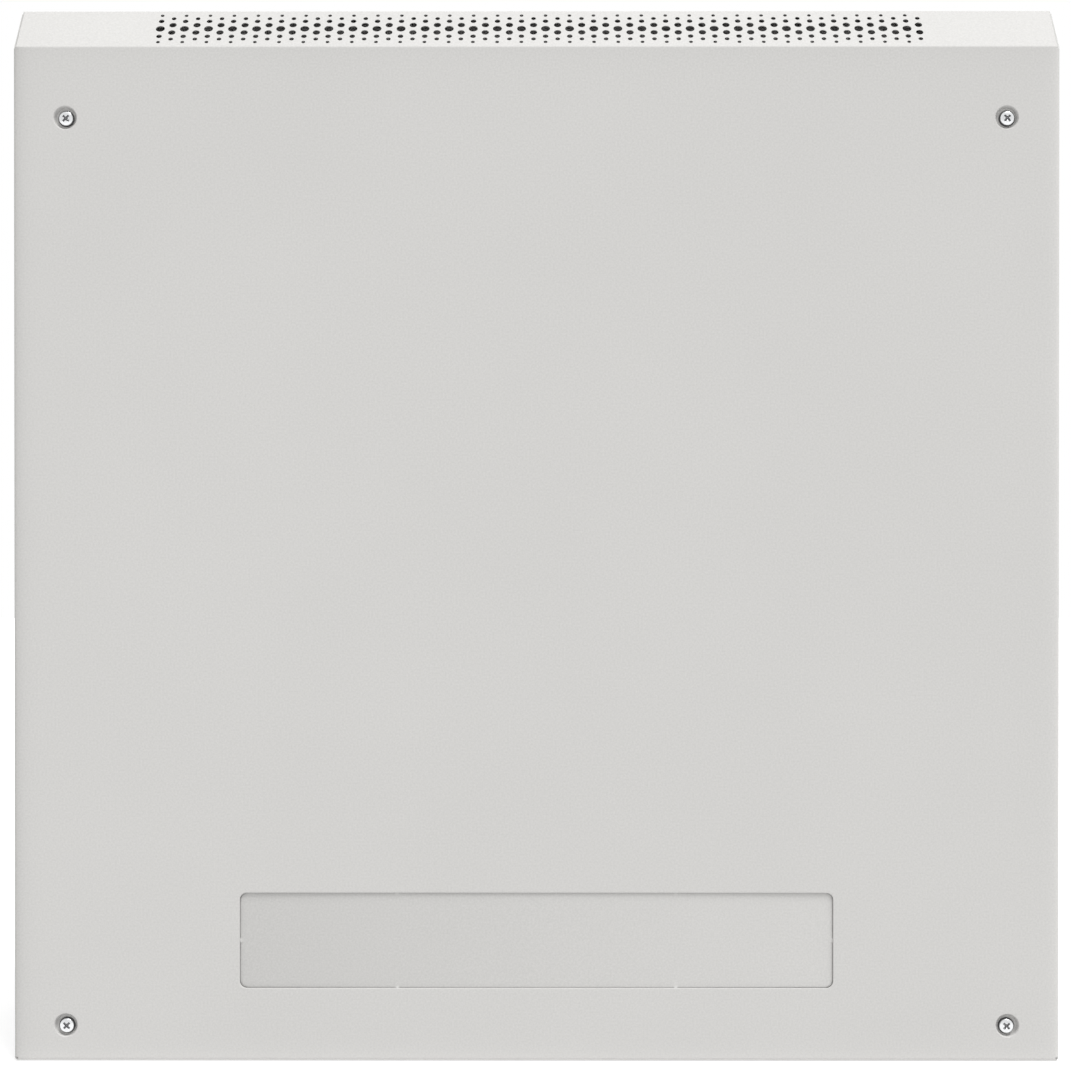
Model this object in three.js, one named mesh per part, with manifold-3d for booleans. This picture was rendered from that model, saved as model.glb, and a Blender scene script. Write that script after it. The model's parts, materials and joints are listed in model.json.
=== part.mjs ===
// Low-profile wall cabinet for 19-inch network equipment. A welded steel housing carries two short rack
// brackets that hold the equipment upright, parallel to the wall, and a hood-shaped front cover closes it
// with four captive screws. The bevel along the cover's top edge is the air outlet.
// Units are millimetres. X runs to the right seen from the front, Y from the front to the wall, Z up.
// The origin lies in the base plane, in the middle of the width and of the depth.
import * as THREE from "three";
import { mergeVertices } from "three/addons/utils/BufferGeometryUtils.js";
import Module from "manifold-3d";

const wasm = await Module();
wasm.setup();

// ---------------------------------------------------------------- driving dimensions

// Cabinet
const WIDTH = 600;
const DEPTH = 160;
const FRONT_HEIGHT = 582; // flat front, from the base up to the bevel
const SHEET = 1.2; // painted steel sheet of the cover, walls and back panel
const BEND_INSIDE = 0.7; // inside radius of every fold
const BEND_STEPS = 3;
const FIT = 0.5; // air between the cover's flanges and the housing's collar
const SEAT_GAP = 0.3; // air between two parts that rest on each other
const CUT_OVER = 1; // how far a cutting body runs past the wall it cuts

// Cover
const BEVEL_RISE = 25.2;
const BEVEL_DEPTH = 21.4;
const COVER_DEPTH = 45; // front face to the rear edge of the flanges
const COVER_CORNER = 2.5; // radius of the four corners seen from the front
const SEAM = 0.4; // slit between two flanges that meet at a corner
const RELIEF_RADIUS = 0.8; // bend relief hole at each lower corner
const RELIEF_INSET = 2.7;

// Air outlet: columns of five and four holes take turns along the bevel
const VENT_PITCH = 6.96; // column to column
const VENT_MARGIN = 80.5; // side of the cover to the first column, at least
const VENT_SHIFT = 1.8; // the field sits a little to the right
const VENT_EDGES = 6; // corners of a hole
const VENT_TURN = 0.382; // each hole's corners against the one before, as a share of an edge
const VENT_SET_IN = 0.04; // perforating presses the field's faces in a little
const VENT_LAP = 0.2;
const VENT_BORDER = 3.2; // plain sheet around the field
const FIVE_HOLES = [
  { at: -12.3, diameter: 2 },
  { at: -7, diameter: 3 },
  { at: 0, diameter: 5 },
  { at: 7, diameter: 3 },
  { at: 12.3, diameter: 2 },
];
const FOUR_HOLES = [
  { at: -9.5, diameter: 2.5 },
  { at: -3.45, diameter: 4 },
  { at: 3.45, diameter: 4 },
  { at: 9.5, diameter: 2.5 },
];

// Pre-punched knock-out plate: cut free but for six small bridges, and pressed in a little
const KNOCKOUT_WIDTH = 340.6;
const KNOCKOUT_HEIGHT = 54.6;
const KNOCKOUT_BASE = 41.8; // base of the cabinet to the plate's lower edge
const KNOCKOUT_CORNER = 4;
const KNOCKOUT_SLIT = 0.3;
const KNOCKOUT_SET_IN = 0.9;
const BRIDGE_WIDTH = 1.6;
const BRIDGE_OFFSET = 80; // bridges on the long sides, from the middle

// Cover screws, in dished seats
const SCREW_SIDE_INSET = 30; // side of the cabinet to the screw
const SCREW_BASE_INSET = 20; // base of the cabinet to a lower screw
const SCREW_BEVEL_INSET = 41; // lower edge of the bevel to an upper screw
const SCREW_RADIUS = 2; // M4
const SCREW_LENGTH = 11; // under the head
const SCREW_HEAD_RADIUS = 4.1;
const SCREW_HEAD_HEIGHT = 2.2;
const SCREW_SIDES = 16;
const CROSS_WIDTH = 0.9; // cross recess
const CROSS_SPAN = 4.4;
const CROSS_DEPTH = 1.2;
const DISH_RADIUS = 6.5;
const DISH_FLOOR_RADIUS = 5;
const DISH_SIDES = 16;
const SCREW_CLEARANCE = 0.3; // radial, around the screw in the cover
const STACK_GAP = 0.1; // between the head, the washer and the seat
const WASHER_THICKNESS = 0.6;
const WASHER_RADIUS = 4.7;

// Housing
const FLANGE = 18; // rear flange against the wall
const LIP = 18; // front lip that stiffens the collar
const JOGGLE_LENGTH = 2.5;
const COLLAR_LENGTH = 18; // overlap of the cover and the housing
const PANEL_EDGE = 14; // back panel's folded edges

// Cover posts: bent tabs on the lips, with a rivet nut each
const POST_SHEET = 1.5;
const POST_WIDTH = 24;
const POST_REACH = 12; // screw axis to the tab's free edge
const POST_WEB_OFFSET = 11; // screw axis to the web, outwards
const POST_FOOT = 14;
const NUT_FLANGE_RADIUS = 4.6;
const NUT_FLANGE_THICKNESS = 0.8;
const NUT_BARREL_RADIUS = 3;
const NUT_BARREL_LENGTH = 9;
const NUT_BULGE_RADIUS = 4;
const NUT_BULGE_LENGTH = 2;
const NUT_SIDES = 12;

// Rack brackets, by the 19-inch standard
const RACK_UNIT = 44.45;
const RACK_HOLE_SPACING = 465.1;
const RACK_OPENING = 450;
const RACK_HOLE = 9.5;
const RACK_HOLE_OFFSETS = [6.35, 22.225, 38.1]; // in each rack unit
const RACK_HEIGHT = 150; // height of the mounting faces, which look down
const RACK_FRONT_ROOM = 16; // cover's inside face to the first rack unit
const RACK_REAR_ROOM = 4; // last rack unit to the back panel, at least
const BRACKET_SHEET = 2;
const BRACKET_FACE = 31;
const BRACKET_RISE = 60;
const BRACKET_TAB = 30;
const BRACKET_END = 4; // bracket's front end to the first rack unit
const BRACKET_RELIEF = 4; // mounting face to the lower edge of the tab
const SLOT_WIDTH = 7;
const SLOT_LENGTH = 14;
const STUD_RADIUS = 3; // M6
const STUD_LENGTH = 14;
const STUD_HEIGHTS = [16, 46]; // over the mounting face
const HEX_ACROSS_FLATS = 10;
const HEX_HEIGHT = 5;
const THREAD_CLEARANCE = 0.15; // radial, between a thread and its nut

// Cage nuts in the outer holes of each bracket
const CAGE_LENGTH = 13.4;
const CAGE_WIDTH = 11;
const CAGE_HEIGHT = 4.4;
const CAGE_NECK = 9; // square neck in the rack hole
const CAGE_BORE = 2.6;

// Cable entries
const REAR_ENTRY_WIDTH = 340;
const REAR_ENTRY_HEIGHT = 80;
const REAR_ENTRY_BASE = 42;
const REAR_ENTRY_CORNER = 10;
const TRIM_WALL = 1.1; // rubber edge trim around the rear entry
const TRIM_GRIP = 4; // how far the trim reaches over the sheet
const BASE_ENTRY_WIDTH = 300;
const BASE_ENTRY_DEPTH = 50;
const BASE_ENTRY_CORNER = 3;
const BASE_ENTRY_SETBACK = 24; // rear face to the entry's rear edge
const BRUSH_HOLDER = 7; // aluminium profile, square
const BRUSH_THICKNESS = 2.4;
const BRUSH_MEETING_GAP = 1;
const BRUSH_SEAT = 2.2; // how far the holder overhangs the entry

// Wall fixing
const KEYHOLE_SPACING = 450;
const KEYHOLE_LOW = 140;
const KEYHOLE_TOP_INSET = 67;
const KEYHOLE_HEAD_RADIUS = 6;
const KEYHOLE_SLOT_RADIUS = 3.25;
const KEYHOLE_TRAVEL = 11;
const HOLE_SIDES = 16;

// Lacing bar for cable ties
const BAR_LENGTH = 380;
const BAR_HEIGHT = 16;
const BAR_SHEET = 1.5;
const BAR_STANDOFF = 24;
const BAR_FOOT = 16;
const BAR_MIDDLE = 25; // height of its centre line
const BAR_SLOT = [12, 5];
const BAR_SLOT_PITCH = 24;
const BAR_SCREW_HEAD_RADIUS = 4;
const BAR_SCREW_HEAD_HEIGHT = 2.4;
const BAR_SCREW_LENGTH = 4;

// Earthing
const EARTH_X = 232;
const EARTH_HEIGHT = 70;
const EARTH_WASHER_RADIUS = 6.5;
const EARTH_WASHER_THICKNESS = 1;
const COVER_EARTH_HEIGHT = 130;

// Cover stiffeners: hat profiles spot-welded inside
const STIFFENER_SHEET = 1;
const STIFFENER_END = 20; // cover screw's axis to the stiffener's end
const STIFFENER_FOOT = 12;
const STIFFENER_CROWN = 22;
const STIFFENER_HEIGHT = 9;
const STIFFENER_SHARES = [0.38, 0.7]; // of the front's height

// ---------------------------------------------------------------- derived places

const HEIGHT = FRONT_HEIGHT + BEVEL_RISE;
const FRONT_Y = -DEPTH / 2;
const REAR_Y = DEPTH / 2;
const COVER_REAR_Y = FRONT_Y + COVER_DEPTH;
const COVER_INSIDE_Y = FRONT_Y + SHEET;
const BEND_OUTSIDE = BEND_INSIDE + SHEET;
const STEP_IN = SHEET + FIT; // how far the collar lies inside the outer faces
const WALL_FRONT_Y = COVER_REAR_Y + FIT;
const COLLAR_FRONT_Y = COVER_REAR_Y - COLLAR_LENGTH;
const PANEL_REAR_Y = REAR_Y - SHEET - SEAT_GAP;
const PANEL_FRONT_Y = PANEL_REAR_Y - SHEET;
const SEAT_INSET = SHEET + SEAT_GAP; // outer face to a part that lies inside a wall
const DISH_DEPTH = SCREW_HEAD_HEIGHT + WASHER_THICKNESS + 2 * STACK_GAP;
const DISH_FLOOR_Y = FRONT_Y + DISH_DEPTH;
const SCREW_X = WIDTH / 2 - SCREW_SIDE_INSET;
const SCREW_SPOTS = [
  { name: "top_left", x: -SCREW_X, z: FRONT_HEIGHT - SCREW_BEVEL_INSET },
  { name: "top_right", x: SCREW_X, z: FRONT_HEIGHT - SCREW_BEVEL_INSET },
  { name: "bottom_left", x: -SCREW_X, z: SCREW_BASE_INSET },
  { name: "bottom_right", x: SCREW_X, z: SCREW_BASE_INSET },
];
const SIDES = [
  { name: "left", sign: -1 },
  { name: "right", sign: 1 },
];
const RACK_FRONT_Y = COVER_INSIDE_Y + RACK_FRONT_ROOM;
const RACK_UNITS = Math.floor((PANEL_FRONT_Y - RACK_REAR_ROOM - RACK_FRONT_Y) / RACK_UNIT);
const BASE_ENTRY_REAR_Y = REAR_Y - BASE_ENTRY_SETBACK;
const BASE_ENTRY_FRONT_Y = BASE_ENTRY_REAR_Y - BASE_ENTRY_DEPTH;

// ---------------------------------------------------------------- solids

const X = new THREE.Vector3(1, 0, 0);
const Y = new THREE.Vector3(0, 1, 0);
const Z = new THREE.Vector3(0, 0, 1);
const WELD = 1e-3; // vertices closer than this are one

function solidOf(geometry) {
  const bare = new THREE.BufferGeometry();
  bare.setAttribute("position", geometry.getAttribute("position"));
  bare.setIndex(geometry.index);
  const welded = mergeVertices(bare, WELD);
  const mesh = new wasm.Mesh({
    numProp: 3,
    vertProperties: welded.attributes.position.array,
    triVerts: new Uint32Array(welded.index.array),
  });
  return new wasm.Manifold(mesh);
}

function geometryOf(solid) {
  const mesh = solid.getMesh();
  const geometry = new THREE.BufferGeometry();
  geometry.setAttribute("position", new THREE.BufferAttribute(mesh.vertProperties, 3));
  geometry.setIndex(new THREE.BufferAttribute(mesh.triVerts, 1));
  geometry.computeVertexNormals();
  return geometry;
}

function extruded(outline, length, basis, holes = []) {
  const shape = new THREE.Shape(outline.map(([a, b]) => new THREE.Vector2(a, b)));
  for (const hole of holes) {
    shape.holes.push(new THREE.Path(hole.map(([a, b]) => new THREE.Vector2(a, b))));
  }
  const geometry = new THREE.ExtrudeGeometry(shape, { depth: length, bevelEnabled: false });
  return geometry.applyMatrix4(new THREE.Matrix4().makeBasis(...basis));
}

// An outline of [y, z] points carried along X, one of [x, z] along Y, and one of [x, y] along Z.
function alongX(outline, [from, to], holes) {
  return solidOf(extruded(outline, to - from, [Y, Z, X], holes).translate(from, 0, 0));
}

function alongY(outline, [from, to], holes) {
  const back = Y.clone().negate();
  return solidOf(extruded(outline, to - from, [X, Z, back], holes).translate(0, to, 0));
}

function alongZ(outline, [from, to], holes) {
  return solidOf(extruded(outline, to - from, [X, Y, Z], holes).translate(0, 0, from));
}

function block([x0, x1], [y0, y1], [z0, z1]) {
  const geometry = new THREE.BoxGeometry(Math.abs(x1 - x0), y1 - y0, z1 - z0);
  return solidOf(geometry.translate((x0 + x1) / 2, (y0 + y1) / 2, (z0 + z1) / 2));
}

// A body turned about an axis parallel to Y through (x, z), from a profile of [radius, y] points.
function turned(profile, sides, x = 0, z = 0) {
  const points = profile.map(([radius, y]) => new THREE.Vector2(radius, y));
  return solidOf(new THREE.LatheGeometry(points, sides).translate(x, 0, z));
}

function circle(a, b, radius, sides = HOLE_SIDES, turn = 0.5) {
  return Array.from({ length: sides }, (_, i) => {
    const angle = (2 * Math.PI * (i + turn)) / sides;
    return [a + radius * Math.cos(angle), b + radius * Math.sin(angle)];
  });
}

// Each corner of an open or closed outline becomes an arc; radii holds one radius per corner.
function rounded(points, radii, closed, steps = BEND_STEPS) {
  const count = points.length;
  const at = (i) => new THREE.Vector2(...points[(i + count) % count]);
  return points.flatMap((point, i) => {
    const radius = radii[i];
    const isEnd = !closed && (i === 0 || i === count - 1);
    if (isEnd || !radius) return [point];
    const corner = at(i);
    const back = at(i - 1).sub(corner).normalize();
    const ahead = at(i + 1).sub(corner).normalize();
    const half = Math.acos(THREE.MathUtils.clamp(back.dot(ahead), -1, 1)) / 2;
    const middle = back.clone().add(ahead).normalize();
    const centre = corner.clone().addScaledVector(middle, radius / Math.sin(half));
    const start = corner.clone().addScaledVector(back, radius / Math.tan(half)).sub(centre);
    const sweep = Math.sign(back.cross(ahead)) * (2 * half - Math.PI);
    return Array.from({ length: steps + 1 }, (_, k) => {
      const spoke = start.clone().rotateAround(new THREE.Vector2(), (sweep * k) / steps);
      return [centre.x + spoke.x, centre.y + spoke.y];
    });
  });
}

// An open line moved sideways by a distance, to the left of its direction, with mitred corners.
function shifted(line, distance) {
  const ways = line.slice(1).map(([a, b], i) => {
    return new THREE.Vector2(a - line[i][0], b - line[i][1]).normalize();
  });
  return line.map(([a, b], i) => {
    const before = ways[Math.max(i - 1, 0)];
    const after = ways[Math.min(i, ways.length - 1)];
    const normal = new THREE.Vector2(-before.y - after.y, before.x + after.x).normalize();
    const reach = distance / (normal.y * before.x - normal.x * before.y);
    return [a + normal.x * reach, b + normal.y * reach];
  });
}

// How an open line turns at each point: 1 to the left, -1 to the right, 0 at its ends.
function turns(line) {
  return line.map(([a, b], i) => {
    if (i === 0 || i === line.length - 1) return 0;
    const [a0, b0] = line[i - 1];
    const [a1, b1] = line[i + 1];
    return Math.sign((a - a0) * (b1 - b) - (b - b0) * (a1 - a));
  });
}

// The section of a folded sheet, from the line of one of its faces: the sheet lies to the left of it.
function folded(line, thickness, steps = BEND_STEPS) {
  const bends = turns(line);
  const near = bends.map((turn) => (turn > 0 ? BEND_INSIDE + thickness : BEND_INSIDE));
  const far = bends.map((turn) => (turn > 0 ? BEND_INSIDE : BEND_INSIDE + thickness));
  const nearFace = rounded(line, near, false, steps);
  const farFace = rounded(shifted(line, thickness), far, false, steps);
  return [...nearFace, ...farFace.reverse()];
}

function rectangle([a0, a1], [b0, b1], radius = 0, steps = BEND_STEPS) {
  const corners = [[a0, b0], [a1, b0], [a1, b1], [a0, b1]];
  return rounded(corners, corners.map(() => radius), true, steps);
}

const around = (middle, size) => [middle - size / 2, middle + size / 2];

// ---------------------------------------------------------------- finishes and the assembly

function finish(color, roughness, metalness) {
  return new THREE.MeshStandardMaterial({ color, roughness, metalness });
}

const PAINT = finish(0xd5d4d2, 0.55, 0.1);
const BARE_STEEL = finish(0xb8bbc0, 0.35, 0.9);
const BRIGHT_ZINC = finish(0xd9dcdf, 0.25, 1);
const ALUMINIUM = finish(0xc9cbcd, 0.4, 0.9);
const NYLON = finish(0x1c1c1e, 0.6, 0);
const RUBBER = finish(0x161616, 0.8, 0);
const BRISTLE = finish(0x202022, 0.9, 0);

const cabinet = new THREE.Group();
const housing = new THREE.Group();
const cover = new THREE.Group();
cabinet.add(housing, cover);

function add(parent, name, solid, material, place = [0, 0, 0]) {
  const mesh = new THREE.Mesh(geometryOf(solid), material);
  mesh.name = name;
  mesh.position.set(...place);
  parent.add(mesh);
}

// ---------------------------------------------------------------- front cover

const BEVEL_UP = new THREE.Vector3(0, BEVEL_DEPTH, BEVEL_RISE).normalize();
const BEVEL_OUT = new THREE.Vector3(0, -BEVEL_RISE, BEVEL_DEPTH).normalize();
const BEVEL_MIDDLE = new THREE.Vector3(0, FRONT_Y + BEVEL_DEPTH / 2, FRONT_HEIGHT + BEVEL_RISE / 2);

// The folded hood: what its side, plan and front outlines share, less the same at the inner faces.
function hood() {
  const side = [
    [COVER_REAR_Y, HEIGHT],
    [FRONT_Y + BEVEL_DEPTH, HEIGHT],
    [FRONT_Y, FRONT_HEIGHT],
    [FRONT_Y, 0],
    [COVER_REAR_Y, 0],
  ];
  const plan = [
    [-WIDTH / 2, COVER_REAR_Y],
    [-WIDTH / 2, FRONT_Y],
    [WIDTH / 2, FRONT_Y],
    [WIDTH / 2, COVER_REAR_Y],
  ];
  const bent = (line, radius) => rounded(line, line.map(() => radius), false);
  const lengthened = (line, [a, b]) => {
    const last = line.length - 1;
    return line.map(([p, q], i) => (i === 0 || i === last ? [p + a, q + b] : [p, q]));
  };
  const innerSide = lengthened(shifted(side, SHEET), [CUT_OVER, 0]);
  const innerPlan = lengthened(shifted(plan, SHEET), [0, CUT_OVER]);
  const half = WIDTH / 2 - SHEET;
  const front = rectangle([-WIDTH / 2, WIDTH / 2], [0, HEIGHT], COVER_CORNER);
  const innerFront = rectangle([-half, half], [SHEET, HEIGHT - SHEET], COVER_CORNER - SHEET);
  const outside = alongX(bent(side, BEND_OUTSIDE), [-WIDTH / 2, WIDTH / 2])
    .intersect(alongZ(bent(plan, BEND_OUTSIDE), [0, HEIGHT]))
    .intersect(alongY(front, [FRONT_Y, COVER_REAR_Y]));
  const inside = alongX(bent(innerSide, BEND_INSIDE), [-half, half])
    .intersect(alongZ(bent(innerPlan, BEND_INSIDE), [0, HEIGHT]))
    .intersect(alongY(innerFront, [FRONT_Y, COVER_REAR_Y + CUT_OVER]));
  return outside.subtract(inside);
}

// Slits where the flanges meet, and the relief holes that end the lower folds.
function cutCorners(body) {
  let cut = body;
  const back = COVER_REAR_Y + CUT_OVER;
  for (const { sign } of SIDES) {
    const across = [sign * (WIDTH / 2 - SHEET - SEAM / 2), sign * (WIDTH / 2 + CUT_OVER)];
    const low = [COVER_CORNER, COVER_CORNER + SEAM];
    const high = [HEIGHT - COVER_CORNER - SEAM, HEIGHT - COVER_CORNER];
    const relief = circle(sign * (WIDTH / 2 - RELIEF_INSET), RELIEF_INSET, RELIEF_RADIUS, 8);
    cut = cut.subtract(block(across, [FRONT_Y + BEND_OUTSIDE, back], low));
    cut = cut.subtract(block(across, [FRONT_Y + BEVEL_DEPTH, back], high));
    cut = cut.subtract(alongY(relief, [FRONT_Y - CUT_OVER, FRONT_Y + 2 * SHEET]));
  }
  return cut;
}

// The perforated part of the bevel is laid out flat, stood up on the slope and let into the hood.
function perforate(body) {
  const columns = Math.floor((WIDTH - 2 * VENT_MARGIN) / VENT_PITCH) + 1;
  const field = ((columns - 1) / 2) * VENT_PITCH;
  const holes = [];
  for (let column = 0; column < columns; column++) {
    const x = column * VENT_PITCH - field + VENT_SHIFT;
    for (const { at, diameter } of column % 2 ? FOUR_HOLES : FIVE_HOLES) {
      const turn = (holes.length * VENT_TURN) % 1; // no two corners of the field line up
      holes.push(circle(x, at, diameter / 2, VENT_EDGES, turn));
    }
  }
  const rows = FIVE_HOLES[4].at + FIVE_HOLES[4].diameter / 2 + 2 * VENT_LAP;
  const slab = (inset, rise, cuts) => {
    const across = around(VENT_SHIFT, 2 * (field + VENT_BORDER - inset));
    const outline = rectangle(across, around(0, 2 * (rows - inset)));
    const geometry = extruded(outline, SHEET + 2 * rise, [X, BEVEL_UP, BEVEL_OUT], cuts);
    const foot = BEVEL_MIDDLE.clone().addScaledVector(BEVEL_OUT, -SHEET - rise);
    return solidOf(geometry.translate(foot.x, foot.y, foot.z));
  };
  return body.subtract(slab(VENT_LAP, CUT_OVER)).add(slab(0, -VENT_SET_IN, holes));
}

function knockOut(body) {
  const half = KNOCKOUT_WIDTH / 2;
  const low = KNOCKOUT_BASE;
  const high = KNOCKOUT_BASE + KNOCKOUT_HEIGHT;
  const slit = KNOCKOUT_SLIT;
  const setIn = FRONT_Y + KNOCKOUT_SET_IN;
  const opening = rectangle([-half, half], [low, high], KNOCKOUT_CORNER);
  const plate = rectangle([slit - half, half - slit], [low + slit, high - slit], KNOCKOUT_CORNER - slit);
  let cut = body.subtract(alongY(opening, [FRONT_Y - CUT_OVER, COVER_INSIDE_Y + CUT_OVER]));
  cut = cut.add(alongY(plate, [setIn, setIn + SHEET]));
  const bridges = [[-half, (low + high) / 2], [half, (low + high) / 2]];
  for (const x of [-BRIDGE_OFFSET, BRIDGE_OFFSET]) bridges.push([x, low], [x, high]);
  for (const [x, z] of bridges) {
    const upright = Math.abs(x) === half;
    const across = around(x, upright ? 4 * slit : BRIDGE_WIDTH);
    const tall = around(z, upright ? BRIDGE_WIDTH : 4 * slit);
    cut = cut.add(block(across, [setIn, COVER_INSIDE_Y], tall));
  }
  return cut;
}

function dish(body, { x, z }) {
  const back = DISH_FLOOR_Y + SHEET;
  const shell = SHEET * 0.9;
  const bump = [
    [0, COVER_INSIDE_Y - SHEET / 2],
    [DISH_RADIUS + shell, COVER_INSIDE_Y - SHEET / 2],
    [DISH_RADIUS + shell, COVER_INSIDE_Y],
    [DISH_FLOOR_RADIUS + shell, back],
    [0, back],
  ];
  const bowl = [
    [0, FRONT_Y - CUT_OVER],
    [DISH_RADIUS, FRONT_Y - CUT_OVER],
    [DISH_RADIUS, FRONT_Y],
    [DISH_FLOOR_RADIUS, DISH_FLOOR_Y],
    [0, DISH_FLOOR_Y],
  ];
  const hole = circle(x, z, SCREW_RADIUS + SCREW_CLEARANCE);
  return body
    .add(turned(bump, DISH_SIDES, x, z))
    .subtract(turned(bowl, DISH_SIDES, x, z))
    .subtract(alongY(hole, [FRONT_Y, back + CUT_OVER]));
}

function addCover() {
  const body = knockOut(perforate(cutCorners(hood())));
  add(cover, "front_cover", SCREW_SPOTS.reduce(dish, body), PAINT);
}

// A hat profile that lies against the cover's inner face, seen in [y, z] with its crown to the rear.
function addStiffener(name, z) {
  const crown = STIFFENER_HEIGHT - STIFFENER_SHEET;
  const half = STIFFENER_CROWN / 2;
  const line = [
    [0, half + STIFFENER_FOOT],
    [0, half],
    [crown, half],
    [crown, -half],
    [0, -half],
    [0, -half - STIFFENER_FOOT],
  ];
  const length = 2 * (SCREW_X - STIFFENER_END);
  const hat = alongX(folded(line, STIFFENER_SHEET, 1), around(0, length));
  add(cover, name, hat, PAINT, [0, COVER_INSIDE_Y + SEAT_GAP, z]);
}

// ---------------------------------------------------------------- cover screws and their washers

// The screw's own origin is in the middle of the underside of its head.
function coverScrew() {
  const crown = -SCREW_HEAD_HEIGHT;
  const profile = [
    [0, crown],
    [SCREW_HEAD_RADIUS * 0.72, crown],
    [SCREW_HEAD_RADIUS, crown * 0.55],
    [SCREW_HEAD_RADIUS, 0],
    [SCREW_RADIUS, 0],
    [SCREW_RADIUS, SCREW_LENGTH - SCREW_RADIUS / 2],
    [SCREW_RADIUS / 2, SCREW_LENGTH],
    [0, SCREW_LENGTH],
  ];
  const deep = [crown - CUT_OVER, crown + CROSS_DEPTH];
  const long = around(0, CROSS_SPAN);
  const narrow = around(0, CROSS_WIDTH);
  return turned(profile, SCREW_SIDES).subtract(block(long, deep, narrow).add(block(narrow, deep, long)));
}

function addCoverScrews() {
  const washer = alongY(circle(0, 0, WASHER_RADIUS), [-WASHER_THICKNESS, 0], [
    circle(0, 0, SCREW_RADIUS + THREAD_CLEARANCE),
  ]);
  const washerSeat = DISH_FLOOR_Y - STACK_GAP;
  const headSeat = washerSeat - WASHER_THICKNESS - STACK_GAP;
  for (const { name, x, z } of SCREW_SPOTS) {
    add(cover, `cover_screw_${name}`, coverScrew(), BRIGHT_ZINC, [x, headSeat, z]);
    add(cover, `screw_washer_${name}`, washer, NYLON, [x, washerSeat, z]);
  }
}

// ---------------------------------------------------------------- housing walls and back panel

// Section of a wall as [inward, y]: rear flange, web, joggle, collar and front lip.
function wallSection() {
  const line = [
    [FLANGE, REAR_Y],
    [0, REAR_Y],
    [0, WALL_FRONT_Y + JOGGLE_LENGTH],
    [STEP_IN, WALL_FRONT_Y],
    [STEP_IN, COLLAR_FRONT_Y],
    [STEP_IN + LIP, COLLAR_FRONT_Y],
  ];
  return folded(line, SHEET, 2);
}

const COLLAR_INSIDE = STEP_IN + SHEET;
const JOGGLE_END_Y = WALL_FRONT_Y + JOGGLE_LENGTH + BEND_OUTSIDE;

function addSideWall({ name, sign }) {
  const section = wallSection().map(([inward, y]) => [sign * (WIDTH / 2 - inward), y]);
  let wall = alongZ(section, [0, HEIGHT]);
  const everyX = [sign * SHEET, sign * (WIDTH / 2 + CUT_OVER)];
  const inner = [sign * SHEET, sign * (WIDTH / 2 - SHEET - BEND_INSIDE)];
  const innerCollar = [sign * SHEET, sign * (WIDTH / 2 - COLLAR_INSIDE - BEND_INSIDE)];
  const collar = [COLLAR_FRONT_Y - CUT_OVER, WALL_FRONT_Y];
  const rear = [REAR_Y - BEND_OUTSIDE - CUT_OVER, REAR_Y + CUT_OVER];
  for (const [edge, way] of [[0, 1], [HEIGHT, -1]]) {
    const end = (depth) => [edge - way * CUT_OVER, edge + way * depth].sort((p, q) => p - q);
    wall = wall.subtract(block(everyX, collar, end(STEP_IN)));
    wall = wall.subtract(block(innerCollar, collar, end(STEP_IN + BEND_OUTSIDE + SEAT_GAP)));
    wall = wall.subtract(block(inner, rear, end(BEND_OUTSIDE + SEAT_GAP)));
  }
  add(housing, `wall_${name}`, wall, PAINT);
}

// The bottom wall's body, or the top wall's when it is flipped.
function endWall(flipped) {
  const section = wallSection().map(([inward, y]) => [y, flipped ? HEIGHT - inward : inward]);
  const half = WIDTH / 2 - BEND_OUTSIDE - SEAT_GAP;
  let wall = alongX(section, [-half, half]);
  const middle = [SHEET, HEIGHT - SHEET].map((z, i) => z + (i ? -BEND_INSIDE : BEND_INSIDE));
  const collarMiddle = middle.map((z, i) => z + (i ? -STEP_IN : STEP_IN));
  for (const { sign } of SIDES) {
    const end = (inset) => [sign * (WIDTH / 2 - inset), sign * (WIDTH / 2 + CUT_OVER)];
    const front = COLLAR_FRONT_Y - CUT_OVER;
    const rear = [REAR_Y - BEND_OUTSIDE, REAR_Y + CUT_OVER];
    const lip = [front, COLLAR_FRONT_Y + BEND_OUTSIDE];
    const collar = end(COLLAR_INSIDE + BEND_INSIDE + SEAT_GAP);
    wall = wall.subtract(block(collar, [front, JOGGLE_END_Y], [-CUT_OVER, HEIGHT + CUT_OVER]));
    wall = wall.subtract(block(end(FLANGE + SEAT_GAP), rear, middle));
    wall = wall.subtract(block(end(STEP_IN + LIP + SEAT_GAP), lip, collarMiddle));
  }
  return wall;
}

function addEndWalls() {
  const entry = rectangle(
    around(0, BASE_ENTRY_WIDTH),
    [BASE_ENTRY_FRONT_Y, BASE_ENTRY_REAR_Y],
    BASE_ENTRY_CORNER,
  );
  const opened = endWall(false).subtract(alongZ(entry, [-CUT_OVER, SHEET + CUT_OVER]));
  add(housing, "wall_bottom", opened, PAINT);
  add(housing, "wall_top", endWall(true), PAINT);
}

const THROUGH_PANEL = [PANEL_FRONT_Y - CUT_OVER, PANEL_REAR_Y + CUT_OVER];

function keyhole(x, z) {
  const slot = rectangle(
    around(x, 2 * KEYHOLE_SLOT_RADIUS),
    [z, z + KEYHOLE_TRAVEL + KEYHOLE_SLOT_RADIUS],
    KEYHOLE_SLOT_RADIUS * 0.95,
  );
  return alongY(circle(x, z, KEYHOLE_HEAD_RADIUS), THROUGH_PANEL).add(alongY(slot, THROUGH_PANEL));
}

function rearEntry(grow) {
  const low = REAR_ENTRY_BASE - grow;
  const high = REAR_ENTRY_BASE + REAR_ENTRY_HEIGHT + grow;
  return rectangle(around(0, REAR_ENTRY_WIDTH + 2 * grow), [low, high], REAR_ENTRY_CORNER + grow);
}

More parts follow.
